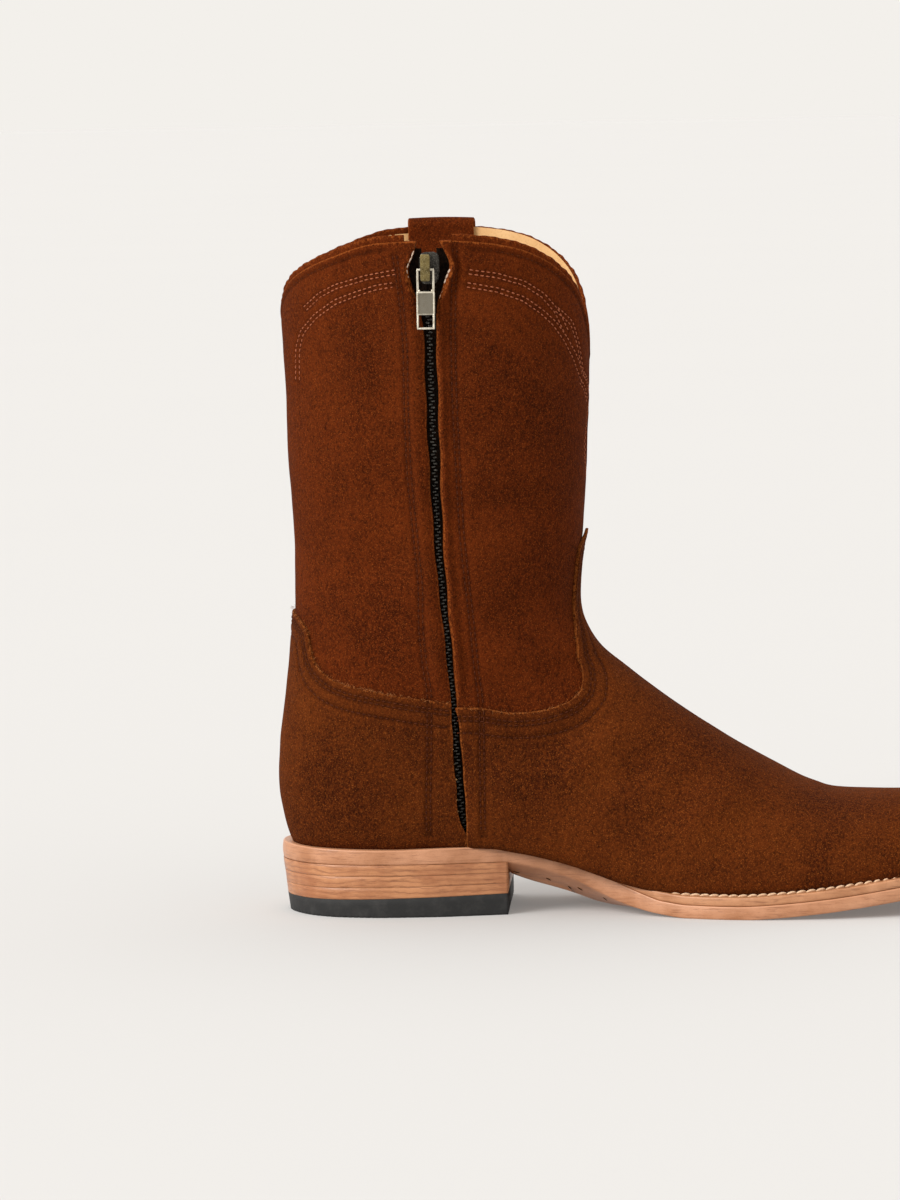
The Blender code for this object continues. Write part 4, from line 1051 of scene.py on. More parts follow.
# The shaft's faces and its stitch rows under these heights are hidden by the vamp and the counter
SHAFT_LOW_Z = 52 * MM
SHAFT_ROWS_LOW_Z = 70 * MM
RIM_DEPTHS = np.array([0.25, 0.9, 1.6, 2.3]) * MM
RIM_SHIFTS = np.array([0.2, 0.7, 0.9, 1.0])[:, None] * 0.35 * MM


def beside_rows(away):
    """Share of painted highlight on the leather that swells beside its rows of stitches."""
    return bell(away / MM - 1.7, 0.9)


def lip_edges_and_highlights(points, ahead, behind):
    """Share of raw edge along both lips; beside the slider a wider, lighter band adds a painted
    highlight on the rolled lips.
    """
    narrow = np.maximum(0.8 * bell(ahead, 1.0), 0.62 * bell(behind, 0.6))
    raw_and_lit_band = np.maximum(0.8 * bell(ahead, 2.0, 4), 0.7 * bell(behind, 1.7, 4))
    return np.maximum(narrow, raw_and_lit_band * bell(points[..., 2] / MM - 259, 10, 4))


def make_shaft(lines):
    place, angle = shaft_grid(*SHAFT_GRID, SHAFT_LOW_PLACE)
    normal = outward(place, angle)
    points = surface(place, angle)
    below_collar = (collar_edge(angle[-1])[None, :] - points[..., 2]) / MM
    height = relief(points) + lip_puff(place, angle)
    height = height * np.clip((below_collar + 1.0) / 6, 0.15, 1)
    # Light swell of the edge between the collar and its stitches
    height = height + 0.35 * MM * bell(below_collar - 1.6, 1.3)
    visible = points[..., 2] > SHAFT_ROWS_LOW_Z
    away = np.full(points.shape[:-1], 1.0)
    away[visible] = lines.distance(points[visible])
    height = height + groove(away, ROW_GROOVE, 0.42 * MM)
    ahead, behind = lip_reach(place, angle)
    lip_edge_and_highlight = lip_edges_and_highlights(points, ahead, behind)
    edge = np.maximum(lip_edge_and_highlight, 0.9 * bell(below_collar, 0.5))
    # Painted shade in the stitch grooves, kept off the lips
    dark = 0.45 * bell(away, 0.8 * MM) * np.clip(1 - lip_edge_and_highlight, 0, 1)
    points = points + normal * height[..., None]
    points[..., 0] += lip_sway(place, angle)

    hide = Hide()
    # Raw edge with the lips' painted highlight, painted shade in the rows, painted highlight beside
    # them
    hide.add(points, edge, dark, 0.22 * beside_rows(away))
    # Rims: over the collar's edge and into the slit; their raw edge colour fades and painted shade
    # deepens with depth
    fade, shade = np.linspace(1.0, 0.3, 5), np.linspace(0.0, 0.5, 5)
    top = points[-1] + [0, 0, 0.25 * MM] - normal[-1] * RIM_DEPTHS[:, None, None]
    hide.add(np.concatenate([points[-1:], top]), fade, shade)
    for side, into in ((0, -1), (-1, 1)):
        wall = points[:, side] - normal[:, side] * RIM_DEPTHS[:, None, None]
        wall[..., 0] += into * RIM_SHIFTS
        hide.add(np.concatenate([points[None, :, side], wall]), fade, shade, flip=side == 0)
    everything, faces, marks = hide.joined()
    keep = (everything[faces][..., 2] > SHAFT_LOW_Z).any(-1)
    return add_piece("shaft_suede", everything, faces[keep][:, ::-1], SHAFT_SUEDE,
                     ("upper",), marks=marks)


# The vamp and the counter

def smooth_rows(rows, first, second, scale_first, scale_second, count=400):
    """Dense line through an edge table."""
    at = np.linspace(0, len(rows) - 1, count)
    return (by_row(column(rows, first) * scale_first, at),
            by_row(column(rows, second) * scale_second, at))


vamp_xs, vamp_zs = smooth_rows(VAMP_EDGE, "x", "z", LAST_LENGTH, SHAFT_HEIGHT)
counter_xs, counter_zs = smooth_rows(COUNTER_EDGE, "x", "z", LAST_LENGTH, SHAFT_HEIGHT)
tongue_zs, tongue_halves = smooth_rows(TONGUE, "z", "half", SHAFT_HEIGHT, BALL_WIDTH)
vamp_xs, counter_xs = vamp_xs + LAST_BACK, counter_xs + LAST_BACK


def vamp_edge_z(x):
    return np.interp(x, vamp_xs, vamp_zs)


def counter_edge_z(x):
    slope = SEAT_THICKNESS / (SEAT_HEIGHT + 5 * MM)
    beyond = counter_zs[-1] + slope * np.maximum(counter_xs[-1] - x, 0)
    return np.where(x < counter_xs[-1], beyond, np.interp(x, counter_xs[::-1], counter_zs[::-1]))


def counter_top(turn):
    """Places of the counter's upper edge at the given angles."""
    def under(place):
        point = surface(place, turn)
        return counter_edge_z(point[..., 0]) - point[..., 2]

    low = np.full(len(turn), ANKLE_ROW - 3.0)
    return solve(under, low, low * 0 + LAST_ROW - 1)


def tongue_half(z):
    return np.interp(z, tongue_zs, tongue_halves, left=-0.01, right=-0.01)


def seam_gap(z, side):
    """Distance ahead of the zip's line at which the vamp ends, on one side."""
    height = z / MM
    flare = 0.9 * ramp(height, 72, 13) ** 2
    wavy = 0.30 * np.sin(height / 2.7) * ramp(height, 45, 20)
    medial = zip_opening(z) - (flare + wavy) * MM
    return medial if side > 0 else 2 * LAYER_GAP + 0 * z


def seam_angle(place, side):
    """Angle, counted from the top, of the vamp's seam on one side."""
    def ahead(turn):
        point = surface(place, turn * side)
        return point[..., 0] - zip_line(point[..., 2]) - seam_gap(point[..., 2], side)

    low = np.full(np.shape(place), math.radians(50))
    return solve(ahead, low, low * 0 + math.radians(150))


# How far the vamp reaches round at each place: to the sole, and further up to its seams
REACH_PLACES = np.linspace(0.0, LAST_ROW, 900)


def vamp_reach(side):
    sole, seam = sole_angle(REACH_PLACES, side), seam_angle(REACH_PLACES, side)
    return np.where(REACH_PLACES > ANKLE_ROW - 5, np.minimum(sole, seam), sole)


REACH_MEDIAL, REACH_LATERAL = vamp_reach(1), vamp_reach(-1)


def vamp_turn(place, share):
    medial = np.interp(place, REACH_PLACES, REACH_MEDIAL)
    lateral = np.interp(place, REACH_PLACES, REACH_LATERAL)
    return -share * np.where(share < 0, medial, lateral)


def inside_vamp(place, angle):
    """Positive under the vamp's upper edge and its tongue, in metres."""
    point = surface(place, angle)
    x, y, z = point[..., 0], point[..., 1], point[..., 2]
    return np.maximum(vamp_edge_z(x) - z, tongue_half(z) - np.abs(y))


def vamp_outline(count):
    """Upper edge of the vamp as places and shares of its reach, medial to lateral."""
    shares = np.linspace(-1, 1, 4801)
    steps = np.linspace(13.0, ANKLE_ROW + 4.9, 200)
    grid_place = steps[:, None] + 0 * shares[None, :]
    value = inside_vamp(grid_place, vamp_turn(grid_place, shares[None, :] + 0 * grid_place))
    outside = value <= 0
    first = np.argmax(outside, axis=0)
    first = np.where(outside.any(axis=0), first, len(steps) - 1)
    low, high = steps[np.maximum(first - 1, 0)], steps[first]
    place = solve(lambda p: inside_vamp(p, vamp_turn(p, shares)), low, high, 30)
    points = surface(place, vamp_turn(place, shares))
    points, place, shares = evenly(points, count, place, shares)
    return place, shares


SOLE_SHADE = 3.2 * MM
RIM_STEPS = ((0.0, 0.0), (0.18, 0.10), (0.28, 0.32), (0.30, 0.7), (0.22, 1.15))


def overlay_height(points, away, from_edge):
    """Outer height of an overlay: its folds, grooves along its stitches and its thinned edge."""
    thinned = 0.45 * MM * bell(from_edge, 1.6 * MM)
    return GAP + OVERLAY + relief(points) + groove(away, ROW_GROOVE, 0.45 * MM) - thinned


def overlay_shades(base, away):
    """Painted shade and painted highlight of an overlay: shade in its rows and above the sole,
    highlight beside its rows.
    """
    at_sole = np.clip(1 - over_sole(base) / SOLE_SHADE, 0, 1)
    dark = np.maximum(0.5 * bell(away, 0.75 * MM), 0.75 * at_sole ** 1.5)
    return dark, 0.2 * beside_rows(away)


def rounded_rim(points, normal, outwards):
    """Rows that round over an overlay's edge and go down to the shaft."""
    return np.stack([points + outwards * reach * MM - normal * drop * MM
                     for reach, drop in RIM_STEPS])


def add_overlay_rims(hide, points, base, normal, edge):
    """Rims along the top edge and both seams of an overlay."""
    hide.add(rounded_rim(points[-1], normal[-1], unit(base[-1] - base[-3])), edge)
    for side, inner in ((0, 2), (-1, -3)):
        outwards = unit(base[:, side] - base[:, inner])
        hide.add(rounded_rim(points[:, side], normal[:, side], outwards), edge, flip=side == 0)


VAMP_GRID = (190, 470)


def vamp_grid(rows, columns):
    """Places and shares of the vamp, evenly spaced from the toe's tip to its upper edge."""
    place_edge, share = vamp_outline(columns)
    t = np.linspace(0, 1, 400)[:, None]
    coarse_place = t * place_edge[None, :]
    coarse = surface(coarse_place, vamp_turn(coarse_place, share[None, :] + 0 * t))
    steps = np.linalg.norm(np.diff(coarse, axis=0), axis=-1)
    length = np.vstack([np.zeros(columns), np.cumsum(steps, axis=0)])
    wanted = 1 - (1 - np.linspace(0, 1, rows)) ** 1.12
    place = np.empty((rows, columns))
    for number in range(columns):
        line = length[:, number]
        place[:, number] = np.interp(wanted * line[-1], line, coarse_place[:, number])
    return place, share[None, :] + 0 * place


def make_vamp(lines):
    place, share = vamp_grid(*VAMP_GRID)
    turn = vamp_turn(place, share)
    base, normal = surface(place, turn), outward(place, turn)
    away = lines.distance(base)
    from_top = np.linalg.norm(base - base[-1:], axis=-1)
    ahead = base[..., 0] - zip_line(base[..., 2]) - seam_gap(base[..., 2], 1)
    at_seam = (base[..., 1] < 0) & (base[..., 2] > 24 * MM)
    from_edge = np.minimum(from_top, np.where(at_seam, np.abs(ahead), 1.0))
    height = overlay_height(base, away, from_edge)
    # The tongue's tip stands off the shaft a little
    height = height + 1.0 * MM * ramp(base[..., 2] / MM, 146, 8) ** 2
    points = base + normal * height[..., None]
    # One more row closes the toe's tip
    nose = points[:1].copy()
    nose[..., 1] *= 0.02
    nose[..., 0] += 0.2 * MM
    edge = 0.9 * bell(from_edge, 0.5 * MM)
    dark, light = overlay_shades(base, away)
    hide = Hide()
    hide.add(np.vstack([nose, points]), np.vstack([edge[:1] * 0, edge]),
             np.vstack([dark[:1], dark]), np.vstack([light[:1], light]))
    add_overlay_rims(hide, points, base, normal, 0.7)
    everything, faces, marks = hide.joined()
    return add_piece("vamp_hide", everything, faces, VAMP_SUEDE, ("vamp",),
                     marks=marks)


COUNTER_GRID = (130, 300)
COUNTER_CORNER_Z = COUNTER_EDGE[0].z * SHAFT_HEIGHT


def counter_seam(side):
    """Line of the counter's seam on one side, from the sole to its upper corner."""
    heights = np.linspace(0.022, COUNTER_CORNER_Z, 240)
    x = zip_line(heights)
    if side > 0:
        x = x - zip_opening(heights) - 0.3 * MM * np.sin(heights / MM / 3.1)
    else:
        x = x - 2 * LAYER_GAP
    place, turn = on_side(x, heights, side)
    start = int(np.argmax(over_sole(surface(place, turn)) - EDGE_LIFT > 0))
    return place[start:], turn[start:]


def counter_grid(rows, columns):
    """Places and angles of the counter, spread between its two seams and two edges."""
    left_place, left_turn = counter_seam(1)
    right_place, right_turn = counter_seam(-1)
    right_turn = right_turn + 2 * math.pi

    def lower_line():
        turn = np.linspace(left_turn[0], right_turn[0], 500)
        ends = (left_turn[0], right_turn[0]), (left_place[0], right_place[0])
        low = np.interp(turn, *ends) - 0.002

        def under(place):
            point = surface(place, turn)
            return sole_top(point[..., 0], point[..., 1]) + EDGE_LIFT - point[..., 2]

        return solve(under, low, low * 0 + 19), turn

    def even(place, turn, count):
        points, place, turn = evenly(surface(place, turn), count, place, turn)
        return np.stack([place, turn], -1)

    left, right = even(left_place, left_turn, rows), even(right_place, right_turn, rows)
    low = even(*lower_line(), columns)
    top_turn = np.linspace(left_turn[-1], right_turn[-1], 500)
    high = even(counter_top(top_turn), top_turn, columns)
    s = np.linspace(0, 1, columns)[None, :, None]
    t = np.linspace(0, 1, rows)[:, None, None]
    flat = (1 - t) * low[None] + t * high[None]
    patch = flat + (1 - s) * (left[:, None] - flat[:, :1]) + s * (right[:, None] - flat[:, -1:])
    return patch[..., 0], patch[..., 1]


def make_counter(lines):
    place, turn = counter_grid(*COUNTER_GRID)
    base, normal = surface(place, turn), outward(place, turn)
    away = lines.distance(base)
    x = base[..., 0] - zip_line(base[..., 2])
    from_seam = np.where(np.sin(turn) > 0, np.abs(x + zip_opening(base[..., 2])), 1.0)
    from_top = np.linalg.norm(base - base[-1:], axis=-1)
    height = overlay_height(base, away, np.minimum(from_seam, from_top))
    points = base + normal * height[..., None]
    edge = np.maximum(0.7 * bell(from_seam, 0.5 * MM), 0.7 * bell(from_top, 0.4 * MM))
    hide = Hide()
    hide.add(points, edge, *overlay_shades(base, away))
    add_overlay_rims(hide, points, base, normal, 0.6)
    everything, faces, marks = hide.joined()
    return add_piece("counter_hide", everything, faces, VAMP_SUEDE, ("counter",),
                     marks=marks)


# Lining, bead and strap

# Counts of points, and the collar's radius beside the zip
LINING_GRID = (130, 180)
BEAD_COLUMNS = 760
BEAD_RADIUS = SHAFT_WIDTH / 3.2
STRAP_ROWS = 110
PLAN_HALF_COUNT = 260
HEEL_HALF_COUNT = 170
WELT_HALF_COUNT = 300


def make_lining():
    rows, columns = LINING_GRID
    turn = np.linspace(math.pi / 2, -1.5 * math.pi, columns)[None, :]
    # It covers the binding's inner face ahead of the strap and ends under it behind the strap
    ahead = np.clip((surface(LAST_ROW - 1, turn[0])[:, 0] - 10 * MM) / (20 * MM), 0, 1)
    top = place_at_height(turn[0], collar_edge(turn[0]) + (0.3 + 2.2 * ahead) * MM)
    t = np.linspace(0, 1, rows)[:, None]
    place = 0.6 + (top[None, :] - 0.6) * t
    turn = turn + 0 * t
    base, normal = surface(place, turn), outward(place, turn)
    at_bead = np.clip((base[..., 2] - collar_edge(turn)) / (1.0 * MM) + 1.5, 0, 1)
    depth = WALL + 0.15 * MM - (relief(base) * (1 - at_bead) + 0.7 * MM * at_bead) * 0.5
    points = base - normal * depth[..., None]
    faces = grid_faces(rows, columns)
    centre = points.reshape(-1, 3)[faces].mean(1)
    x, y, z = centre.T
    beside = np.abs(x - zip_line(z))
    in_slit = (beside < zip_opening(z) + 1.6 * MM) & (z > ZIP[0].height * SHAFT_HEIGHT)
    # It is cut away further beside the ends of the binding
    at_ends = (beside < 8.6 * MM) & (z > SHAFT_HEIGHT - BEAD_STAND - 1 * MM)
    under = z < sole_top(x, y) + GAP
    keep = ~((in_slit | at_ends) & (y < 0)) & ~under
    return add_piece("lining", points, faces[keep], LINING,
                     marks={"dark": np.zeros(rows * columns)})


def make_insole():
    xs = np.linspace(HEEL_BACK + INSOLE_INSET, HEEL_BACK + SOLE_LENGTH - INSOLE_INSET, 120)
    shares = np.linspace(-1, 1, 41)
    medial, lateral = inset_half(xs, INSOLE_INSET, -1), inset_half(xs, INSOLE_INSET, 1)
    ys = np.where(shares[None, :] < 0, shares * medial[:, None], shares * lateral[:, None])
    x = xs[:, None] + 0 * ys
    top = sole_top(x, ys) + GAP + INSOLE_THICKNESS
    drop = 1.2 * MM * np.abs(shares) ** 8
    points = np.stack([x, ys, top - drop], -1)
    return add_piece("insole_board", points, grid_faces(*x.shape)[:, ::-1], SOCK,
                     ("insole",), marks={"dark": np.zeros(x.size)})


def make_bead():
    """Binding with a rounded top edge, from lip to lip."""
    gap_turn = (float(zip_opening(SHAFT_HEIGHT)) + 2 * GAP) / BEAD_RADIUS
    turn = np.linspace(math.pi / 2 + gap_turn, math.pi * 2.5 - gap_turn, BEAD_COLUMNS)
    edge, top = collar_edge(turn), bead_top(turn)
    wave = 0.25 * MM * (np.sin(turn * 61) * np.sin(turn * 23 + 1))
    # Profile as pairs of depth under the surface and share of the bead's stand
    profile_rows = [(0.30, -0.25), (0.30, 0.35), (0.36, 0.75), (0.60, 0.93), (1.10, 1.0),
                    (1.62, 0.96), (1.95, 0.80), (2.05, 0.40), (2.05, -0.25)]
    rings, edges = [], []
    for depth, share in profile_rows:
        z = edge + (top - edge) * share + wave * max(share, 0) * 0.6
        place = place_at_height(turn, z)
        point = raised(place, turn, np.full(len(turn), -depth * MM) + wave)
        point[:, 2] = z
        rings.append(point)
        edges.append(np.full(len(turn), 0.55 if share > 0.7 else 0.25))
    points = np.stack(rings)
    faces = grid_faces(*points.shape[:2])[:, ::-1]
    marks = {"edge": np.stack(edges), "dark": np.zeros(points.shape[:2]),
             "light": np.full(points.shape[:2], 0.25)}
    return add_piece("collar_binding", points, faces, SHAFT_SUEDE,
                     ("collar_bead",), marks=marks)


# Room between the wall and the strap's inner leg: the wall of the solids has flat facets
FACET_DIP = SHAFT_WIDTH / 2 * (1 - math.cos(math.pi / 26)) * 1.2
INSIDE_WALL = WALL + FACET_DIP + GAP


def strap_line(count):
    """Middle line of the strap: offsets outwards and heights from the collar's top."""
    outer = GAP + STRAP_THICKNESS / 2
    inner = -(INSIDE_WALL + STRAP_THICKNESS / 2)
    reach = (outer - inner) / 2
    bend_z = STRAP_RISE - STRAP_THICKNESS / 2 - reach
    turn = np.linspace(0, math.pi, 24)
    offsets = np.concatenate([np.full(30, outer), (outer + inner) / 2 + reach * np.cos(turn),
                              np.full(16, inner)])
    heights = np.concatenate([np.linspace(-STRAP_OUTER_LENGTH, bend_z - 0.5 * MM, 30),
                              bend_z + reach * np.sin(turn),
                              np.linspace(bend_z - 0.5 * MM, -STRAP_INNER_LENGTH, 16)])
    return evenly(np.stack([offsets, heights], -1), count)[0]


def strap_half_turn():
    row = SHAFT[-2]
    depth = along_x(row.front_x) - along_x(row.back_x) + 2 * STRAP_THICKNESS
    return math.asin((STRAP_WIDTH / depth) ** (row.above / 2))


def strap_point(across, offset, height):
    """Points of the strap: across from -1 to 1, offset outwards, height from the collar's top."""
    angle = math.pi * 1.5 + strap_half_turn() * across
    z = SHAFT_HEIGHT + height
    held = np.minimum(z, SHAFT_HEIGHT + 1.5 * MM)
    point = raised(place_at_height(angle, held), angle, offset)
    point[..., 2] = z
    return point


def make_strap():
    line = strap_line(STRAP_ROWS)
    tangent = unit(np.gradient(line, axis=0))
    side = np.stack([tangent[:, 1], -tangent[:, 0]], -1)
    # Cross-section of the strap, rounded at both edges
    section = [(across, 1.0) for across in np.linspace(-0.965, 0.965, 26)]
    section += [(0.99, 0.6), (1.0, 0.0), (0.99, -0.6)]
    section = np.array(section + [(-across, -up) for across, up in section])
    waist = 1 - 0.05 * bell(np.linspace(0, 1, STRAP_ROWS) - 0.55, 0.2)
    across = section[None, :, 0] * waist[:, None]
    lift = section[None, :, 1] * STRAP_THICKNESS / 2
    puff = 0.35 * MM * np.cos(section[None, :, 0] * math.pi / 2) * (section[None, :, 1] > 0)
    reach = (lift + puff)[..., None] * -side[:, None]
    shifted = line[:, None] - reach
    points = strap_point(across, shifted[..., 0], shifted[..., 1])
    edge = np.broadcast_to(np.where(np.abs(section[:, 0]) > 0.975, 1.0, 0.0), across.shape)
    zero = np.zeros(across.shape)
    rows, columns = across.shape
    faces = [tuple(face) for face in grid_faces(rows, columns, wrap=True)[:, ::-1]]
    faces += [tuple(range(columns)), tuple(reversed(range((rows - 1) * columns, rows * columns)))]
    return add_piece("strap_hide", points, faces, SHAFT_SUEDE, ("pull_strap",),
                     marks={"edge": edge, "dark": zero, "light": zero + 0.12})


# The sole and the heel

def inset_half(x, inset, side):
    """Half width of the sole's plan, drawn in by an inset."""
    if inset == 0:
        return np.maximum(sole_half(x, side), LEAST_HALF)
    middle = along_x(0.5)
    shrink = (SOLE_LENGTH / 2 - inset) / (SOLE_LENGTH / 2)
    full = sole_half(middle + (x - middle) / shrink, side)
    return np.maximum(full - inset * np.minimum(full / (2 * inset), 1.0), 0.15 * MM)


def both_sides(x, inset):
    """Plan points of the inset sole along the medial side and back along the lateral side."""
    medial = np.stack([x, -inset_half(x, inset, -1)], -1)
    lateral = np.stack([x, inset_half(x, inset, 1)], -1)
    return np.concatenate([medial, lateral[::-1]])


def plan_ring(shares, inset):
    """Closed ring of plan points; shares run 0 to 1 from back to toe."""
    low, high = HEEL_BACK + inset + END_TRIM, HEEL_BACK + SOLE_LENGTH - inset - END_TRIM
    return both_sides(low + (high - low) * (1 - np.cos(math.pi * shares)) / 2, inset)


def cross_faces(count, start, flip=False):
    """Quads between the two halves of a closed ring of 2 * count points."""
    i = np.arange(count - 1)
    other = 2 * count - 1 - i
    quads = np.stack([start + i, start + i + 1, start + other - 1, start + other], -1)
    return quads[:, ::-1] if flip else quads


def ring_stack(rings, half_count, close=(True, True)):
    rows, columns = len(rings), 2 * half_count
    faces = [grid_faces(rows, columns, wrap=True)]
    if close[0]:
        faces.append(cross_faces(half_count, 0, True))
    if close[1]:
        faces.append(cross_faces(half_count, (rows - 1) * columns))
    return np.concatenate(faces)


def make_outsole():
    shares = np.linspace(0, 1, PLAN_HALF_COUNT)
    # Both edges as inset from the plan and drop from the face, in millimetres
    edge_rows = [(22, 0), (14, 0), (8, 0), (4, 0), (1.6, 0), (0.7, 0), (0.28, 0.08), (0.06, 0.3),
                 (0.0, 0.7)]
    rings, darker_marks, lighter_top_marks = [], [], []
    for inset, drop in edge_rows:
        plan = plan_ring(shares, inset * MM)
        z = outsole_top(plan[:, 0], plan[:, 1]) - drop * MM
        rings.append(np.column_stack([plan, z]))
        # Inner rows of the top face get painted shade under the upper; the top face and its rounding
        # are painted lighter
        darker_marks.append(np.full(len(plan), 0.15 if inset > 4 else 0.0))
        lighter_top_marks.append(np.full(len(plan), 0.9 if drop < 0.5 else 0.0))
    plan = plan_ring(shares, 0)
    top = outsole_top(plan[:, 0], plan[:, 1])
    bottom = outsole_bottom(plan[:, 0], plan[:, 1])
    belly = 0.25 * MM
    for share in (0.3, 0.5, 0.7):
        z = top - 0.7 * MM + (bottom - top + 1.4 * MM) * share
        out = plan + unit(plan - [[0.1, 0]]) * belly * math.sin(math.pi * share)
        rings.append(np.column_stack([out, z]))
        darker_marks.append(np.zeros(len(plan)))
    for inset, drop in reversed(edge_rows):
        plan = plan_ring(shares, inset * MM)
        z = outsole_bottom(plan[:, 0], plan[:, 1]) + drop * MM
        rings.append(np.column_stack([plan, z]))
        # The bottom face is darker, more so away from its edge
        darker_marks.append(np.full(len(plan), 0.35 if inset > 1 else 0.1))
    points = np.stack(rings)
    points[..., 2] = np.maximum(points[..., 2], 0.02 * MM)
    dark, light = np.stack(darker_marks), np.zeros((len(rings), len(plan)))
    light[:len(lighter_top_marks)] = lighter_top_marks
    return add_piece("outsole_leather", points, ring_stack(rings, PLAN_HALF_COUNT),
                     SOLE_LEATHER, ("outsole",),
                     marks={"dark": dark, "light": light})


def horseshoe(inset, start_x, count):
    """Open ring of plan points from a start on the medial side round the toe to the other side."""
    last = HEEL_BACK + SOLE_LENGTH - inset - END_TRIM
    turn = math.pi / 2 * np.linspace(0, 1, count)
    return both_sides(start_x + (last - start_x) * np.sin(turn), inset)


def make_welt():
    start = HEEL_BACK + WELT_START + WELT_END
    # Cross-section as inset from the plan and drop from the top, in millimetres
    section = [(14.0, 0.0), (9.0, 0.0), (5.0, 0.0), (2.2, 0.0), (0.8, 0.02), (0.3, 0.12),
               (0.05, 0.4), (0.0, 0.8), (0.0, 1.6), (0.0, 2.4), (0.08, 2.9), (0.35, 3.3),
               (1.0, 3.4), (14.0, 3.4)]
    rings = []
    for inset, drop in section:
        plan = horseshoe(inset * MM, start, WELT_HALF_COUNT)
        cover = (WELT_THICKNESS + GAP) * welt_cover(plan[:, 0])
        thick = np.maximum(cover - 0.05 * MM, 2 * LAYER_GAP)
        z = sole_top(plan[:, 0], plan[:, 1]) - drop / section[-1][1] * thick
        rings.append(np.column_stack([plan, z]))
    points = np.stack(rings)
    dark = np.zeros(points.shape[:2])
    # Painted shadow on the welt's top face where the upper meets it
    dark[:4] = 0.25
    faces = grid_faces(*points.shape[:2])
    return add_piece("welt_strip", points, faces, WELT_LEATHER, ("welt",),
                     marks={"dark": dark, "light": dark * 0})


def heel_ring(shares, drop, inset):
    """Heel's plan, from back medial round by the breast to back lateral."""
    lean = HEEL_LEAN * drop
    x = HEEL_BACK + END_TRIM + (HEEL_LENGTH - END_TRIM) * (1 - np.cos(math.pi / 2 * shares))
    moved = BREAST - (BREAST - x) * (HEEL_LENGTH - lean) / HEEL_LENGTH
    half_length = HEEL_LENGTH / 2
    centre = HEEL_BACK + half_length
    medial, lateral = (np.maximum(sole_half(x, side) - lean / 2, LEAST_HALF) for side in (-1, 1))
    drawn = centre + (moved - centre) * (1 - inset / half_length)
    shrink = 1 - inset / (BALL_WIDTH * 0.31)
    return np.concatenate([np.stack([drawn, -medial * shrink], -1),
                           np.stack([drawn, lateral * shrink], -1)[::-1]])


def heel_piece(name, low, high, nodes, material, notches=False, seed=0):
    """Layer of the heel between two slanting planes, with softly rounded edges."""
    shares = np.linspace(0, 1, HEEL_HALF_COUNT)
    # Cross-section as inset in millimetres, share of the height and shift in millimetres
    rows = [(3.0, 0.0, 0.0), (0.2, 0.0, 0.0), (0.0, 0.0, 0.05), (0.0, 0.12, 0.0),
            (0.0, 0.33, 0.0), (0.0, 0.66, 0.0), (0.0, 1.0, -0.06), (0.06, 1.0, -0.01),
            (0.2, 1.0, 0.0), (3.0, 1.0, 0.0)]
    rings, darks = [], []
    for inset, share, shift in rows:
        level = (low[0] + low[1]) / 2 * (1 - share) + (high[0] + high[1]) / 2 * share
        plan = heel_ring(shares, 1 - level / SEAT_BOTTOM, inset * MM)
        run = (plan[:, 0] - HEEL_BACK) / HEEL_LENGTH
        z_low = low[0] + (low[1] - low[0]) * run
        z_high = high[0] + (high[1] - high[0]) * run
        z = z_low + (z_high - z_low) * share + shift * MM
        wave = 0.10 * MM * np.sin(plan[:, 0] / MM / 7 + seed * 2) * math.sin(math.pi * share)
        plan = plan + unit(plan) * wave[:, None]
        if notches and share < 0.1 and inset < 1:
            around = arc_lengths(plan) / (2.5 * MM)
            teeth = np.clip(np.cos(around * 2 * math.pi) * 4 - 2.4, 0, 1) * 0.5 * MM
            plan = plan - unit(plan) * teeth[:, None]
        rings.append(np.column_stack([plan, np.maximum(z, 0.0)]))
        darks.append(np.full(len(plan), 0.55 if inset > 0.2 else 0.0))
    points = np.stack(rings)
    faces = ring_stack(rings, HEEL_HALF_COUNT)
    dark = np.stack(darks)
    return add_piece(name, points, faces[:, ::-1], material, nodes,
                     marks={"dark": dark, "light": dark * 0})


def make_heel():
    cap = (CAP_BACK, CAP_BREAST)
    heel_piece("heel_cap_rubber", (0.0, 0.0), cap, ("heel_cap",), HEEL_RUBBER, True)
    for number in range(LIFT_COUNT):
        low_share = (LIFT_COUNT - 1 - number) / LIFT_COUNT
        high_share = (LIFT_COUNT - number) / LIFT_COUNT
        low = tuple(end + (SEAT_BOTTOM - end) * low_share + 0.02 * MM for end in cap)
        high = tuple(end + (SEAT_BOTTOM - end) * high_share for end in cap)
        name = "heel_lift_" + str(number + 1)
        heel_piece(name + "_leather", low, high, (name,), HEEL_LEATHER,
                   seed=number + 1)


# Stitches

def capsule():
    """Template of a stitch, one unit long and wide, lying along X with Z up."""
    stations = [(-0.5, 0.0), (-0.44, 0.6), (-0.25, 0.95), (0.0, 1.0), (0.25, 0.95), (0.44, 0.6),
                (0.5, 0.0)]
    sides = 6
    verts, faces = [(-0.5, 0, 0)], []
    for x, size in stations[1:-1]:
        for k in range(sides):
            turn = 2 * math.pi * k / sides
            verts.append((x, size * math.cos(turn) / 2, size * math.sin(turn) / 2))
    verts.append((0.5, 0, 0))
    last = len(verts) - 1
    for k in range(sides):
        k2 = (k + 1) % sides
        faces.append((0, 1 + k2, 1 + k))
        for ring in range(len(stations) - 3):
            a, b = 1 + ring * sides, 1 + (ring + 1) * sides
            faces.append((a + k, a + k2, b + k2, b + k))
        faces.append((last, last - sides + k, last - sides + k2))
    return np.array(verts), faces


CAPSULE_POINTS, CAPSULE_FACES = capsule()


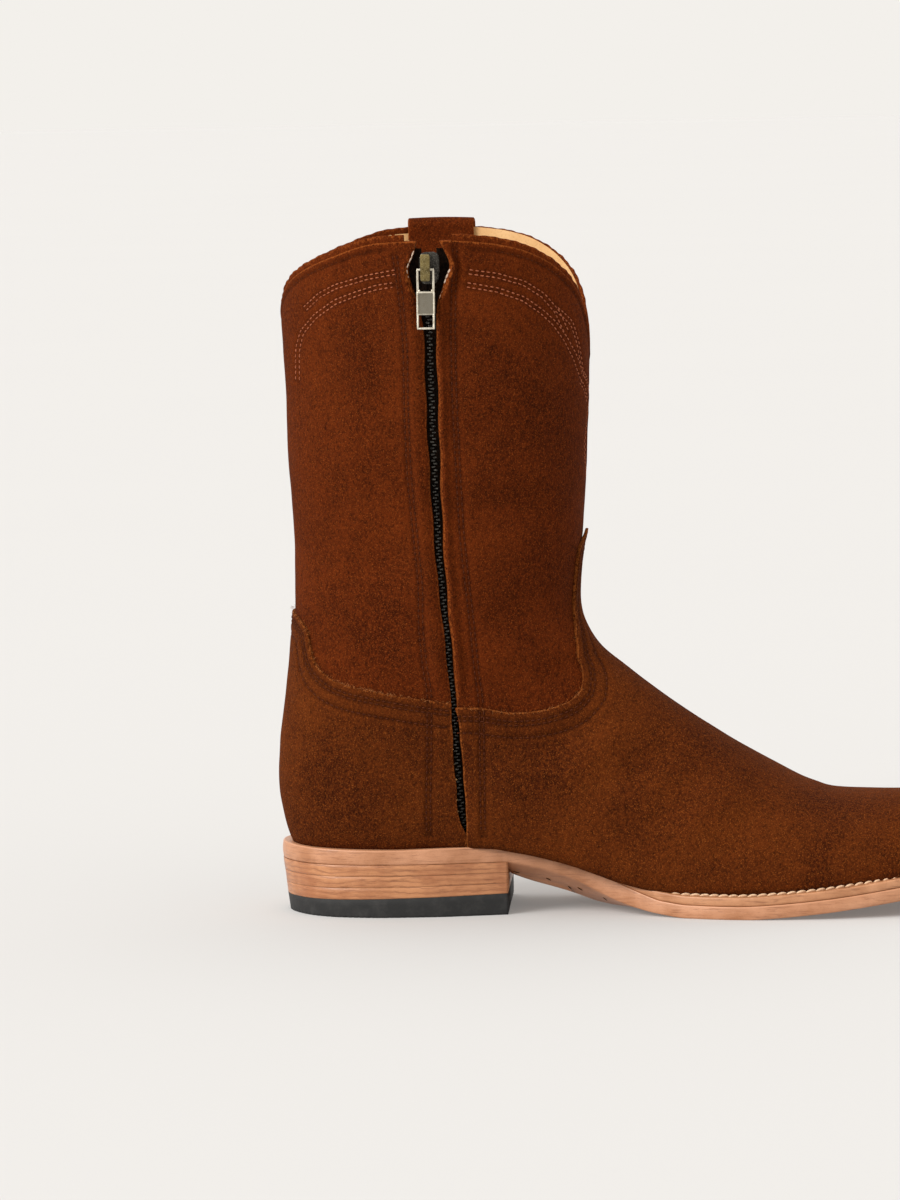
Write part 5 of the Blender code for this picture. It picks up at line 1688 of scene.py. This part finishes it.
class Stitching:
    """Collects stitches and makes them into one piece."""

    def __init__(self):
        self.points, self.faces, self.count = [], [], 0

    def add(self, centres, along, up, length, width, height=None, sag=0.25):
        along, up = unit(along), unit(up)
        across = unit(np.cross(up, along))
        up = np.cross(along, across)
        height = height or width
        body = CAPSULE_POINTS
        drop = -sag * (np.abs(body[:, 0]) * 2) ** 2
        size = np.broadcast_to(np.asarray(length, float), (len(centres),))
        for i in range(len(centres)):
            local = (body[:, :1] * size[i] * along[i] + body[:, 1:2] * width * across[i]
                     + (body[:, 2:] + drop[:, None]) * height * up[i])
            self.points.append(local + centres[i])
            self.faces += [tuple(v + self.count for v in face) for face in CAPSULE_FACES]
            self.count += len(body)

    def make(self, name, material, slot):
        return add_piece(name, np.concatenate(self.points), self.faces, material)


def row_on_surface(place, turn, pitch):
    """Centres, directions, normals, places and angles of stitches along a line on the upper."""
    points, place, turn = evenly(surface(place, turn), max(len(place), 400), place, turn)
    length = arc_lengths(points)
    count = max(int(length[-1] / pitch), 2)
    at = (np.arange(count) + 0.5) * length[-1] / count
    place, turn = np.interp(at, length, place), np.interp(at, length, turn)
    centres = surface(place, turn)
    return centres, np.gradient(centres, axis=0), outward(place, turn), place, turn


def smooth_interp(at, keys, values):
    """Interpolation rounded off over a short run."""
    raw = np.interp(at, keys, values)
    width = max(int(len(at) * 0.03), 1)
    kernel = np.hanning(2 * width + 1)
    kernel /= kernel.sum()
    before, after = 2 * raw[0] - raw[width:0:-1], 2 * raw[-1] - raw[-2:-width - 2:-1]
    return np.convolve(np.concatenate([before, raw, after]), kernel, "valid")


def smooth_line(points, count):
    """Both coordinates of a rounded line through points given in millimetres."""
    keys = np.array(points, float) * MM
    length = arc_lengths(keys)
    at = np.linspace(0, length[-1], count)
    return smooth_interp(at, length, keys[:, 0]), smooth_interp(at, length, keys[:, 1])


def side_line(points, side, count):
    """Places and angles along a line given in side view."""
    return on_side(*smooth_line(points, count), side)


def front_line(points, count=160):
    """Places and angles along a line given in front view."""
    return on_front(*smooth_line(points, count))


# Stitch lines, in side view (x, z) or front view (y, z), in millimetres

ZIP_ROW_BACK = [(6.7, 267.3), (9.2, 249), (10.2, 230.8), (10, 205.7), (10.6, 180.1), (12.4, 156.4),
                (14.1, 135.5), (13.7, 118.5), (15.1, 101.1), (16.6, 93), (16.4, 84.1), (15.9, 63.4),
                (15.3, 50.4), (15.0, 34)]
ZIP_ROW_FRONT = [(30.8, 272), (29.3, 238.8), (29.2, 213.4), (29.8, 188.3), (30.9, 156.2),
                 (32.3, 139.2), (34.3, 118.2), (35.5, 100.8), (37.1, 88.3), (37, 63.2), (37, 33)]
COLLAR_BACK_A = [(7.3, 260.5), (-5, 258.3), (-17.8, 254.6), (-24.6, 251.1), (-31, 245.5)]
COLLAR_BACK_B = [(8.7, 255.8), (-1.2, 254.3), (-9.5, 251.7), (-17.9, 248.6), (-26.4, 242.8),
                 (-32.5, 236.2), (-34.7, 229.5), (-35.8, 216.3)]
COLLAR_FRONT_A = [(35.7, 260.1), (47.1, 258.3), (57.3, 255), (64.7, 249.8), (70.1, 243),
                  (73.5, 234.6)]
COLLAR_FRONT_B = [(34.8, 255), (47, 252.6), (57.2, 248.7), (64.6, 243), (69.2, 238.2),
                  (73.4, 231.4), (76.5, 224.6), (80.0, 213.5)]
FRONT_A = [(0, 209), (8.2, 214.7), (14.2, 217.5), (19.7, 229.6), (24.9, 237.9), (33.2, 244)]
FRONT_B = [(5.5, 205.5), (11, 210.8), (17, 214.5)]
SPADE = [(0, 205), (3.5, 201.7), (6.1, 195.5), (7.7, 189.3), (7.1, 184.2), (3.5, 179), (0, 174.3)]

DOUBLE = 1.7 * MM
STITCH_PITCH = 2.3 * MM
STITCH_SINK = 0.3 * MM


def shifted(points, distance):
    """Line moved sideways in its own plane by a distance in millimetres."""
    points = np.array(points, float)
    step = np.gradient(points, axis=0)
    normal = unit(np.stack([-step[:, 1], step[:, 0]], -1))
    return points + normal * distance


def mirrored(points):
    return [(-across, up) for across, up in points]


def inset_line(place, turn, inset, inward=1):
    """Line on the surface moved sideways to the inside of its outline."""
    edge = surface(place, turn)
    normal = outward(place, turn)
    along = unit(np.gradient(edge, axis=0))
    kernel = np.hanning(31)
    kernel /= kernel.sum()
    padded = np.pad(along, ((15, 15), (0, 0)), mode="edge")
    along = unit(np.stack([np.convolve(padded[:, k], kernel, "valid") for k in range(3)], -1))
    across = unit(np.cross(normal, along)) * inward
    return locate(edge + across * inset, place, turn)


COLLAR_ROW_END = 0.26
COLLAR_ROW_DEPTH = 2.6 * MM


def build_lines():
    """Stitch lines of the shaft: group, places and angles."""
    rows = []

    def add(group, line):
        rows.append((group, *line))

    for shift in (-DOUBLE / 2 / MM, DOUBLE / 2 / MM):
        for keys in (ZIP_ROW_BACK, ZIP_ROW_FRONT):
            add("zip", side_line(shifted(keys, shift), 1, 500))
        for side in (1, -1):
            for keys in (COLLAR_BACK_A, COLLAR_BACK_B, COLLAR_FRONT_A, COLLAR_FRONT_B):
                add("collar", side_line(shifted(keys, shift), side, 200))
        for flip in (False, True):
            for keys in (FRONT_A, FRONT_B, SPADE):
                line = mirrored(keys) if flip else keys
                add("collar", front_line(shifted(line, shift)))
        # On the lateral side the rows run on over the middle, where the medial side has the zip
        for back, front in ((COLLAR_BACK_A[0], COLLAR_FRONT_A[0]),
                            (COLLAR_BACK_B[0], COLLAR_FRONT_B[0])):
            middle = [back, ((back[0] + front[0]) / 2, max(back[1], front[1]) + 0.8), front]
            add("collar", side_line(shifted(middle, shift), -1, 120))
    # Row along the collar's edge, which ends a little way from the zip
    turn = np.linspace(math.pi / 2 - COLLAR_ROW_END, -1.5 * math.pi + COLLAR_ROW_END, 900)
    add("edge", (place_at_height(turn, collar_edge(turn) - COLLAR_ROW_DEPTH), turn))
    return rows


def overlay_lines():
    """Stitch lines that run under the upper edges of the vamp and the counter."""
    place, share = vamp_outline(1400)
    vamp = (place, vamp_turn(place, share))
    rows = []
    for line, inward in ((vamp, -1), (counter_edge(), 1)):
        for inset in EDGE_ROWS:
            rows.append(("overlay", *inset_line(*line, inset, inward)))
    return rows


# Distances of the three rows from an overlay's edge
EDGE_ROWS = (3.3 * MM, 5.0 * MM, 10.0 * MM)


def counter_edge():
    """Upper edge of the counter from the medial corner round the back to the lateral one."""
    corner = np.array([COUNTER_CORNER_Z])
    x = zip_line(corner)
    first = on_side(x - zip_opening(corner), corner, 1)[1][0]
    last = on_side(x - 2 * LAYER_GAP, corner, -1)[1][0] + 2 * math.pi
    turn = np.linspace(first, last, 900)
    return counter_top(turn), turn


# The zip

TOOTH_PITCH = 2.5 * MM
TEETH_DEPTH = 2.9 * MM
TOOTH_SHIFT = 0.42 * MM
CHAIN_SHIFT = -0.2 * MM
TOOTH_HALF = np.array([0.90, 0.85, 0.40]) * MM
ZIP_LOW = ZIP[0].height * SHAFT_HEIGHT
CLOSED_TOP = PULL_HEIGHT - SLIDER_LENGTH / 2 - 1.5 * MM

# How far the tapes overlap in the closed part, and how fast and how wide they part above it
TAPE_OVERLAP = 0.05 * MM
PARTING_START = PULL_HEIGHT - SLIDER_LENGTH / 2 + 1.5 * MM
PARTING_RUN = 6 * MM
PARTING = (SLIDER_WIDTH / 2 + 2 * GAP - 1.0 * MM) * 0.8


def zip_frame(z, across, depth):
    """Point beside the zip's line at a height, and the surface's normal there."""
    place, turn = on_side(zip_line(z) + across, z, 1)
    normal = outward(place, turn)
    return surface(place, turn) - normal * np.asarray(depth)[..., None], normal


def make_teeth():
    """Two rows of interlocked metal teeth."""
    count = int((CLOSED_TOP - ZIP_LOW) / (TOOTH_PITCH / 2))
    z = ZIP_LOW + (np.arange(count) + 0.5) * TOOTH_PITCH / 2
    side = np.where(np.arange(count) % 2 == 0, 1.0, -1.0)
    beside, depth = side * TOOTH_SHIFT + CHAIN_SHIFT, np.full(count, TEETH_DEPTH)
    centre, normal = zip_frame(z, beside, depth)
    ahead, _ = zip_frame(z + 1 * MM, beside, depth)
    up = unit(ahead - centre)
    across = unit(np.cross(up, normal))
    across *= np.sign(across[:, :1] + 1e-9)
    # Tooth: a rounded body that reaches from its tape to past the middle and narrows there
    template, quads = rounded_block(0.35)
    points, faces = [], []
    for i in range(count):
        local = template * TOOTH_HALF
        pinch = 1 - 0.25 * np.clip(-local[:, :1] * side[i] / TOOTH_HALF[0], 0, 1)
        world = (centre[i] + local[:, :1] * across[i] + local[:, 1:2] * normal[i]
                 + local[:, 2:] * pinch * up[i])
        faces += [tuple(v + len(points) * len(template) for v in quad) for quad in quads]
        points.append(world)
    return add_piece("zip_teeth", np.concatenate(points), faces, TEETH_METAL,
                     ("zip_chain",))


def rounded_block(round_share):
    """Cube from -1 to 1 with its edges drawn in, as points and quads."""
    steps = np.array([-1, -1 + round_share * 0.35, -1 + round_share, 1 - round_share,
                      1 - round_share * 0.35, 1])
    count = len(steps)
    points, faces, lookup = [], [], {}

    def vert(key):
        if key not in lookup:
            raw = np.array([steps[k] for k in key])
            inner = np.clip(raw, -1 + round_share, 1 - round_share)
            lookup[key] = len(points)
            reach = raw - inner
            length = np.linalg.norm(reach)
            points.append(inner + (reach / length * round_share if length > 1e-9 else 0))
        return lookup[key]

    for axis in range(3):
        for end in (0, count - 1):
            for i in range(count - 1):
                for j in range(count - 1):
                    corners = []
                    for a, b in ((i, j), (i + 1, j), (i + 1, j + 1), (i, j + 1)):
                        key = [0, 0, 0]
                        key[axis], key[(axis + 1) % 3], key[(axis + 2) % 3] = end, a, b
                        corners.append(vert(tuple(key)))
                    faces.append(tuple(corners if end else reversed(corners)))
    return np.array(points), faces


def make_tapes():
    """Woven tapes behind the slit; they meet under the teeth and part at the slider."""
    z = np.linspace(ZIP_LOW - 4 * GAP, SHAFT_HEIGHT - 2 * BEAD_STAND, 330)
    near = PARTING * ramp(z, PARTING_START, PARTING_RUN) - TAPE_OVERLAP
    for name, side in (("zip_tape_front", 1), ("zip_tape_back", -1)):
        # Cross-section as distance from the near edge and depth, in millimetres
        section = [(0.0, 4.1), (0.0, 3.5), (0.25, 3.15), (0.6, 3.0), (1.1, 3.0), (1.5, 3.2),
                   (2.0, 3.35), (4.0, 3.4), (7.0, 3.4), (12.0, 3.45), (12.0, 4.1)]
        points = np.stack([zip_frame(z, side * (near + across * MM), np.full(len(z), depth * MM))[0]
                           for across, depth in section])
        faces = grid_faces(*points.shape[:2])
        add_piece(name + "_cloth", points, faces if side > 0 else faces[:, ::-1], ZIP_FABRIC,
                  (name,))


def pull_axis():
    place, turn = on_side(np.array([float(zip_line(PULL_HEIGHT))]), np.array([PULL_HEIGHT]), 1)
    face = surface(place, turn)[0]
    return np.array([face[0], face[1] - PULL_THICKNESS / 2 - 3 * GAP, PULL_HEIGHT])


AXIS = pull_axis()


# The crown and the tab sit a little towards the heel from the slider's middle, in millimetres
TAB_SHIFT = -1.0


def blocks_piece(name, blocks, material, nodes, body, bend=None):
    """Joined rounded blocks; each has a centre, half sizes, a roundness and maybe a share of painted
    shade.
    """
    points, faces, darks, count = [], [], [], 0
    for centre, half, round_share, *dark in blocks:
        template, quads = rounded_block(round_share)
        local = template * np.array(half) * MM + np.array(centre) * MM
        if bend is not None:
            local = bend(local)
        points.append(local + AXIS)
        faces += [tuple(v + count for v in quad) for quad in quads]
        darks += [dark[0] if dark else 0.0] * len(local)
        count += len(local)
    return add_piece(name, np.concatenate(points), faces, material, nodes, body,
                     {"dark": darks})


def make_slider():
    """Dark body plates with shoulders, and a brass crown over the pin.

    Blocks are given as centre, half sizes and roundness, in millimetres from the pin.
    """
    body_y = (PULL_THICKNESS / 2 + GAP * 1.5) / MM
    body = [
        ((0.6, body_y + 0.7, 2.6), (4.0, 0.7, 4.3), 0.60),
        ((0.3, body_y + 0.8, -3.2), (3.2, 0.7, 2.6), 0.5),
        ((0.3, body_y + 3.7, 0), (3.9, 0.7, 5.4), 0.45),
        ((0.3, body_y + 2.2, 3.6), (1.1, 1.6, 1.9), 0.5),
        ((4.1, body_y + 1.4, 1.9), (0.5, 0.9, 3.4), 0.6),
        ((-3.1, body_y + 1.4, 1.9), (0.5, 0.9, 3.4), 0.6),
    ]
    crown = [
        ((TAB_SHIFT, -1.55, 0.8), (1.9, 0.5, 5.3), 0.28),
        ((TAB_SHIFT, -0.2, 4.9), (1.6, 1.7, 0.8), 0.5),
        ((TAB_SHIFT, -0.2, -4.0), (1.5, 1.7, 0.6), 0.5),
    ]
    blocks_piece("zip_slider_body", body, TEETH_METAL, ("zip_slider",), "boot")
    blocks_piece("zip_slider_crown", crown, ZIP_METAL, (), "boot")


def splay(local):
    """Bends the hanging tab outwards towards its lower end."""
    moved = local.copy()
    share = np.clip(-local[:, 2] / PULL_LENGTH, 0, 1)
    moved[:, 1] -= PULL_SPLAY * share ** 2
    return moved


def make_pull():
    """Tab with a pin, two prongs, a bare panel sunk in a raised rim and an open slot."""
    foot = -PULL_LENGTH / MM + 1.0
    blocks = [((0, 0, 0.0), (3.2, 0.5, 0.5), 0.6)]
    for side in (-1, 1):
        blocks.append(((side * 3.1, 0, -4.3), (0.48, 0.5, 4.8), 0.5))
        blocks.append(((side * 2.55, 0, -8.3), (0.45, 0.5, 0.6), 0.9))
        blocks.append(((side * 3.25, 0, -13.3), (0.38, 0.62, 4.9), 0.4))
        blocks.append(((side * 3.15, 0, -20.2), (0.40, 0.56, 3.2), 0.4))
    blocks.append(((0, 0, -8.9), (3.5, 0.62, 0.38), 0.4))
    # The sunk panel gets painted shade, the bar below it less
    blocks.append(((0, 0.15, -13.2), (3.0, 0.25, 4.2), 0.15, 0.85))
    blocks.append(((0, 0, -17.5), (3.4, 0.50, 0.30), 0.4, 0.5))
    blocks.append(((0, 0, foot), (3.4, 0.56, 0.45), 0.6))
    moved = [((centre[0] + TAB_SHIFT, *centre[1:]), *rest) for centre, *rest in blocks]
    return blocks_piece("zip_pull_tab", moved, PULL_METAL, ("zip_pull",),
                        "zip_pull", splay)


# Peg holes in the waist's rounded underside, in side view in millimetres, and their slant

PEGS = table("x z turn", [(49.5, 16.2, 0.25), (62.2, 13.4, 0.5), (70.6, 9.8, 0.7),
                          (75.0, 9.3, 0.6), (85.0, 5.6, 0.7)])


def make_pegs():
    """Dark slots on the leather that paint the shade in the peg holes, at the height where the
    waist's curve has each of them.
    """
    stitches = Stitching()
    for peg in PEGS:
        x = peg.x * MM
        shares = np.linspace(0.999, 0.3, 300)
        half = sole_half(np.full(300, x), -1)
        y = -half * shares
        z = outsole_bottom(np.full(300, x), y)
        i = int(np.argmin(np.abs(z - peg.z * MM)))
        step = np.array([0, y[i + 1] - y[i - 1], z[i + 1] - z[i - 1]])
        along = unit(np.array([math.cos(peg.turn), 0, -math.sin(peg.turn)]))
        up = unit(np.cross(step, along))
        up = up * -np.sign(up[1])
        place = np.array([[x, y[i], z[i]]])
        stitches.add(place + up * 0.06 * MM, along[None], up[None], 2.7 * MM, 1.1 * MM, 0.24 * MM, 0)
    return stitches.make("peg_holes", PEG_DARK, "sole_leather")


# Stitches made from the lines

def add_rows(stitches, rows, extra, length, width):
    """Adds a row of stitches for each line, lying on a surface at an extra height."""
    for group, place, turn in rows:
        if len(place) < 6:
            continue
        centres, along, normal, at_place, at_turn = row_on_surface(place, turn, STITCH_PITCH)
        height = relief(surface(at_place, at_turn)) + extra
        if group == "zip":
            height = height + lip_puff(at_place, at_turn)
        centres = centres + normal * (height - STITCH_SINK)[:, None]
        stitches.add(centres, along, normal, length, width, width * 0.95)


WELT_ROW_INSET = 3.6 * MM
WELT_STITCH_PITCH = 3.9 * MM


def make_welt_stitches():
    """Slanted cord stitches on the welt, beside the upper."""
    stitches = Stitching()
    start = HEEL_BACK + WELT_START + 10.5 * MM
    plan = horseshoe(WELT_ROW_INSET, start, 900)
    line = np.column_stack([plan, sole_top(plan[:, 0], plan[:, 1])])
    length = arc_lengths(line)
    at = (np.arange(int(length[-1] / WELT_STITCH_PITCH)) + 0.5) * WELT_STITCH_PITCH
    centre = np.stack([np.interp(at, length, line[:, k]) for k in range(3)], -1)
    along = unit(np.gradient(centre, axis=0))
    inward = unit(np.cross([0, 0, 1], along))
    # The first stitches stand out further, where the upper hangs over the waist
    early = np.clip(1 - (centre[:, :1] - start) / (34 * MM), 0, 1)
    centre = centre - inward * early * 1.7 * MM
    slanted = unit(along + 0.30 * inward + [0, 0, 0.10])
    up = unit(np.array([0, 0, 1.0]) - 0.25 * inward)
    stitches.add(centre + up * 0.35 * MM, slanted, up, 4.2 * MM, 1.05 * MM, 1.10 * MM, 0.35)
    return stitches.make("welt_stitches", WELT_THREAD, "sole_leather")


def make_fibres():
    """Loose fibres on the raw edges and along the sole."""
    spread = np.random.default_rng(21)
    points, faces = [], []

    def fibre(start, direction, normal, length, width=0.09 * MM):
        first = len(points)
        bend = unit(spread.normal(size=3)) * 0.4
        steps = [0.0, 0.4, 0.75, 1.0]
        across = unit(np.cross(direction, normal))
        for step in steps:
            middle = start + (direction * step + bend * step ** 2) * length
            half = width * (1 - 0.7 * step) / 2
            points.extend([middle - across * half, middle + across * half])
        for a in range(first, first + 6, 2):
            faces.append((a, a + 1, a + 3, a + 2))

    place, share = vamp_outline(700)
    turn = vamp_turn(place, share)
    for place, turn in ((place, turn), counter_edge()):
        base, normal = surface(place, turn), outward(place, turn)
        for _ in range(420):
            i = spread.integers(4, len(base) - 4)
            along = unit(base[i + 3] - base[i - 3])
            across = np.cross(normal[i], along)
            way = unit(along * spread.normal() * 0.8 + across * spread.normal() + normal[i] * 0.35)
            fibre(base[i] + normal[i] * spread.uniform(0.4, 1.7) * MM, way, normal[i],
                  spread.uniform(0.6, 1.8) * MM)
    for side in (1, -1):
        steps = spread.uniform(3.0, 16.0, 240)
        turn = sole_angle(steps, side) * side
        base, normal = surface(steps, turn), outward(steps, turn)
        for i in range(len(steps)):
            way = unit(spread.normal(size=3) * [1, 0.6, 0.7] + normal[i] * 0.8)
            fibre(base[i] + normal[i] * 1.6 * MM, way, normal[i], spread.uniform(0.8, 2.2) * MM)
    return add_piece("loose_fibres", np.array(points), faces, FIBRE, smooth=False)


# sign: 1 front lip, -1 back lip; all sizes in millimetres
LIP_THREADS = table("sign high low count length width", [
    (-1, 267.5, 258.0, 5, 2.7, 0.55),
    (1, 260.5, 256.5, 3, 2.3, 1.1),
    (1, 254.5, 250.5, 3, 2.0, 0.35),
])


def make_thread_ends():
    """Pale raw ends of the lining's edge on both lips beside the slider."""
    stitches = Stitching()
    spread = np.random.default_rng(5)
    for row in LIP_THREADS:
        z = np.linspace(row.high, row.low, row.count) * MM
        jitter = spread.uniform(-0.15, 0.15, row.count) * MM
        place, turn = on_side(zip_line(z) + row.sign * (zip_opening(z) + 0.1 * MM) + jitter, z, 1)
        sway = np.stack([lip_sway(place, turn), 0 * z, 0 * z], -1)
        base, normal = surface(place, turn) + sway, outward(place, turn)
        lean = spread.uniform(-0.12, 0.12, (row.count, 3))
        along = unit(unit(np.gradient(base, axis=0)) + lean)
        stitches.add(base - normal * 0.2 * MM, along, normal, row.length * MM, row.width * MM)
    return stitches.make("lip_threads", WHITE_THREAD, "shaft_suede")


# Light, floor and camera

BACKDROP = tone(243, 240, 235)


def add_light():
    scene = bpy.context.scene
    scene.view_settings.view_transform = "Standard"
    world = bpy.data.worlds.new("studio")
    scene.world = world
    world.use_nodes = True
    background = world.node_tree.nodes["Background"]
    background.inputs["Color"].default_value = BACKDROP
    background.inputs["Strength"].default_value = 1.0
    # Name, direction towards the light, strength and spread in degrees
    suns = [("key", (-0.75, -0.62, 0.62), 2.6, 35), ("top", (-0.1, 0.25, 1.0), 0.6, 60)]
    for name, direction, strength, spread in suns:
        light = bpy.data.lights.new(name, "SUN")
        light.energy = strength
        light.color = (1.0, 0.985, 0.96)
        light.angle = math.radians(spread)
        item = bpy.data.objects.new(name, light)
        item.rotation_euler = Vector(direction).to_track_quat("Z", "Y").to_euler()
        scene.collection.objects.link(item)


FLOOR_HALF = 30.0


def add_floor():
    mesh = bpy.data.meshes.new("floor")
    corners = [(x * FLOOR_HALF, y * FLOOR_HALF, 0) for x, y in ((-1, -1), (1, -1), (1, 1), (-1, 1))]
    mesh.from_pydata(corners, [], [(0, 1, 2, 3)])
    mesh.materials.append(floor_look())
    floor = bpy.data.objects.new("floor", mesh)
    bpy.context.scene.collection.objects.link(floor)


CAMERA_PLACE = Vector((0.1439, -2.2968, 0.3442))
CAMERA_TARGET = Vector((0.0235, 0.0, 0.1252))
CAMERA_LENS = 170.8
CAMERA_ROLL = math.radians(1.0)


def add_camera():
    forward = (CAMERA_TARGET - CAMERA_PLACE).normalized()
    right = forward.cross(Vector((0, 0, 1))).normalized()
    up = right.cross(forward)
    turned_right = right * math.cos(CAMERA_ROLL) - up * math.sin(CAMERA_ROLL)
    turned_up = up * math.cos(CAMERA_ROLL) + right * math.sin(CAMERA_ROLL)
    data = bpy.data.cameras.new("photo")
    data.lens = CAMERA_LENS
    data.sensor_width = 36
    data.sensor_fit = "AUTO"
    data.clip_end = 30
    camera = bpy.data.objects.new("photo", data)
    turn = Matrix((turned_right, turned_up, -forward)).transposed()
    camera.matrix_world = Matrix.Translation(CAMERA_PLACE) @ turn.to_4x4()
    bpy.context.scene.collection.objects.link(camera)
    bpy.context.scene.camera = camera


# The zip's rows run on the shaft down to the first height, and on the overlays from the second
# to the third
SHAFT_ROW_END = 86.5 * MM
OVERLAY_ROW_START = 84.5 * MM
OVERLAY_ROW_END = 35 * MM
STITCH_LENGTH = 1.6 * MM
SEAM_STITCH_WIDTH = 0.5 * MM


def only(rows, group):
    return [row for row in rows if row[0] == group]


def lines_along(rows):
    lines = Lines()
    for _, place, turn in rows:
        lines.add(surface(place, turn))
    return lines


def split_zip_rows(rows):
    """Parts of the zip's rows on the shaft, and their parts on the vamp and the counter."""
    upper, lower = [], []
    for group, place, turn in rows:
        height = surface(place, turn)[:, 2]
        above = height > SHAFT_ROW_END
        below = (height <= OVERLAY_ROW_START) & (height > OVERLAY_ROW_END)
        upper.append((group, place[above], turn[above]))
        lower.append(("overlay", place[below], turn[below]))
    return upper, lower


def make_stitches(shaft_rows, over_rows):
    collar = Stitching()
    add_rows(collar, only(shaft_rows, "collar"), 0.0, STITCH_LENGTH, 0.55 * MM)
    collar.make("collar_stitches", COLLAR_THREAD, "shaft_suede")
    upper_part, lower_part = split_zip_rows(only(shaft_rows, "zip"))
    seams = Stitching()
    add_rows(seams, only(shaft_rows, "edge"), 0.0, STITCH_LENGTH, 0.4 * MM)
    add_rows(seams, upper_part, 0.0, STITCH_LENGTH, SEAM_STITCH_WIDTH)
    for rows in (lower_part, over_rows):
        add_rows(seams, rows, GAP + OVERLAY, STITCH_LENGTH, SEAM_STITCH_WIDTH)
    seams.make("upper_stitches", SEAM_THREAD, "shaft_suede")


def main():
    shaft_rows, over_rows = build_lines(), overlay_lines()
    over = lines_along(over_rows + only(shaft_rows, "zip"))
    make_shaft(lines_along(shaft_rows))
    make_vamp(over)
    make_counter(over)
    for make in (make_lining, make_insole, make_bead, make_strap, make_outsole, make_welt,
                 make_heel, make_teeth, make_tapes, make_slider, make_pull, make_pegs):
        make()
    make_stitches(shaft_rows, over_rows)
    make_welt_stitches()
    make_thread_ends()
    make_fibres()
    add_light()
    add_floor()
    add_camera()


main()
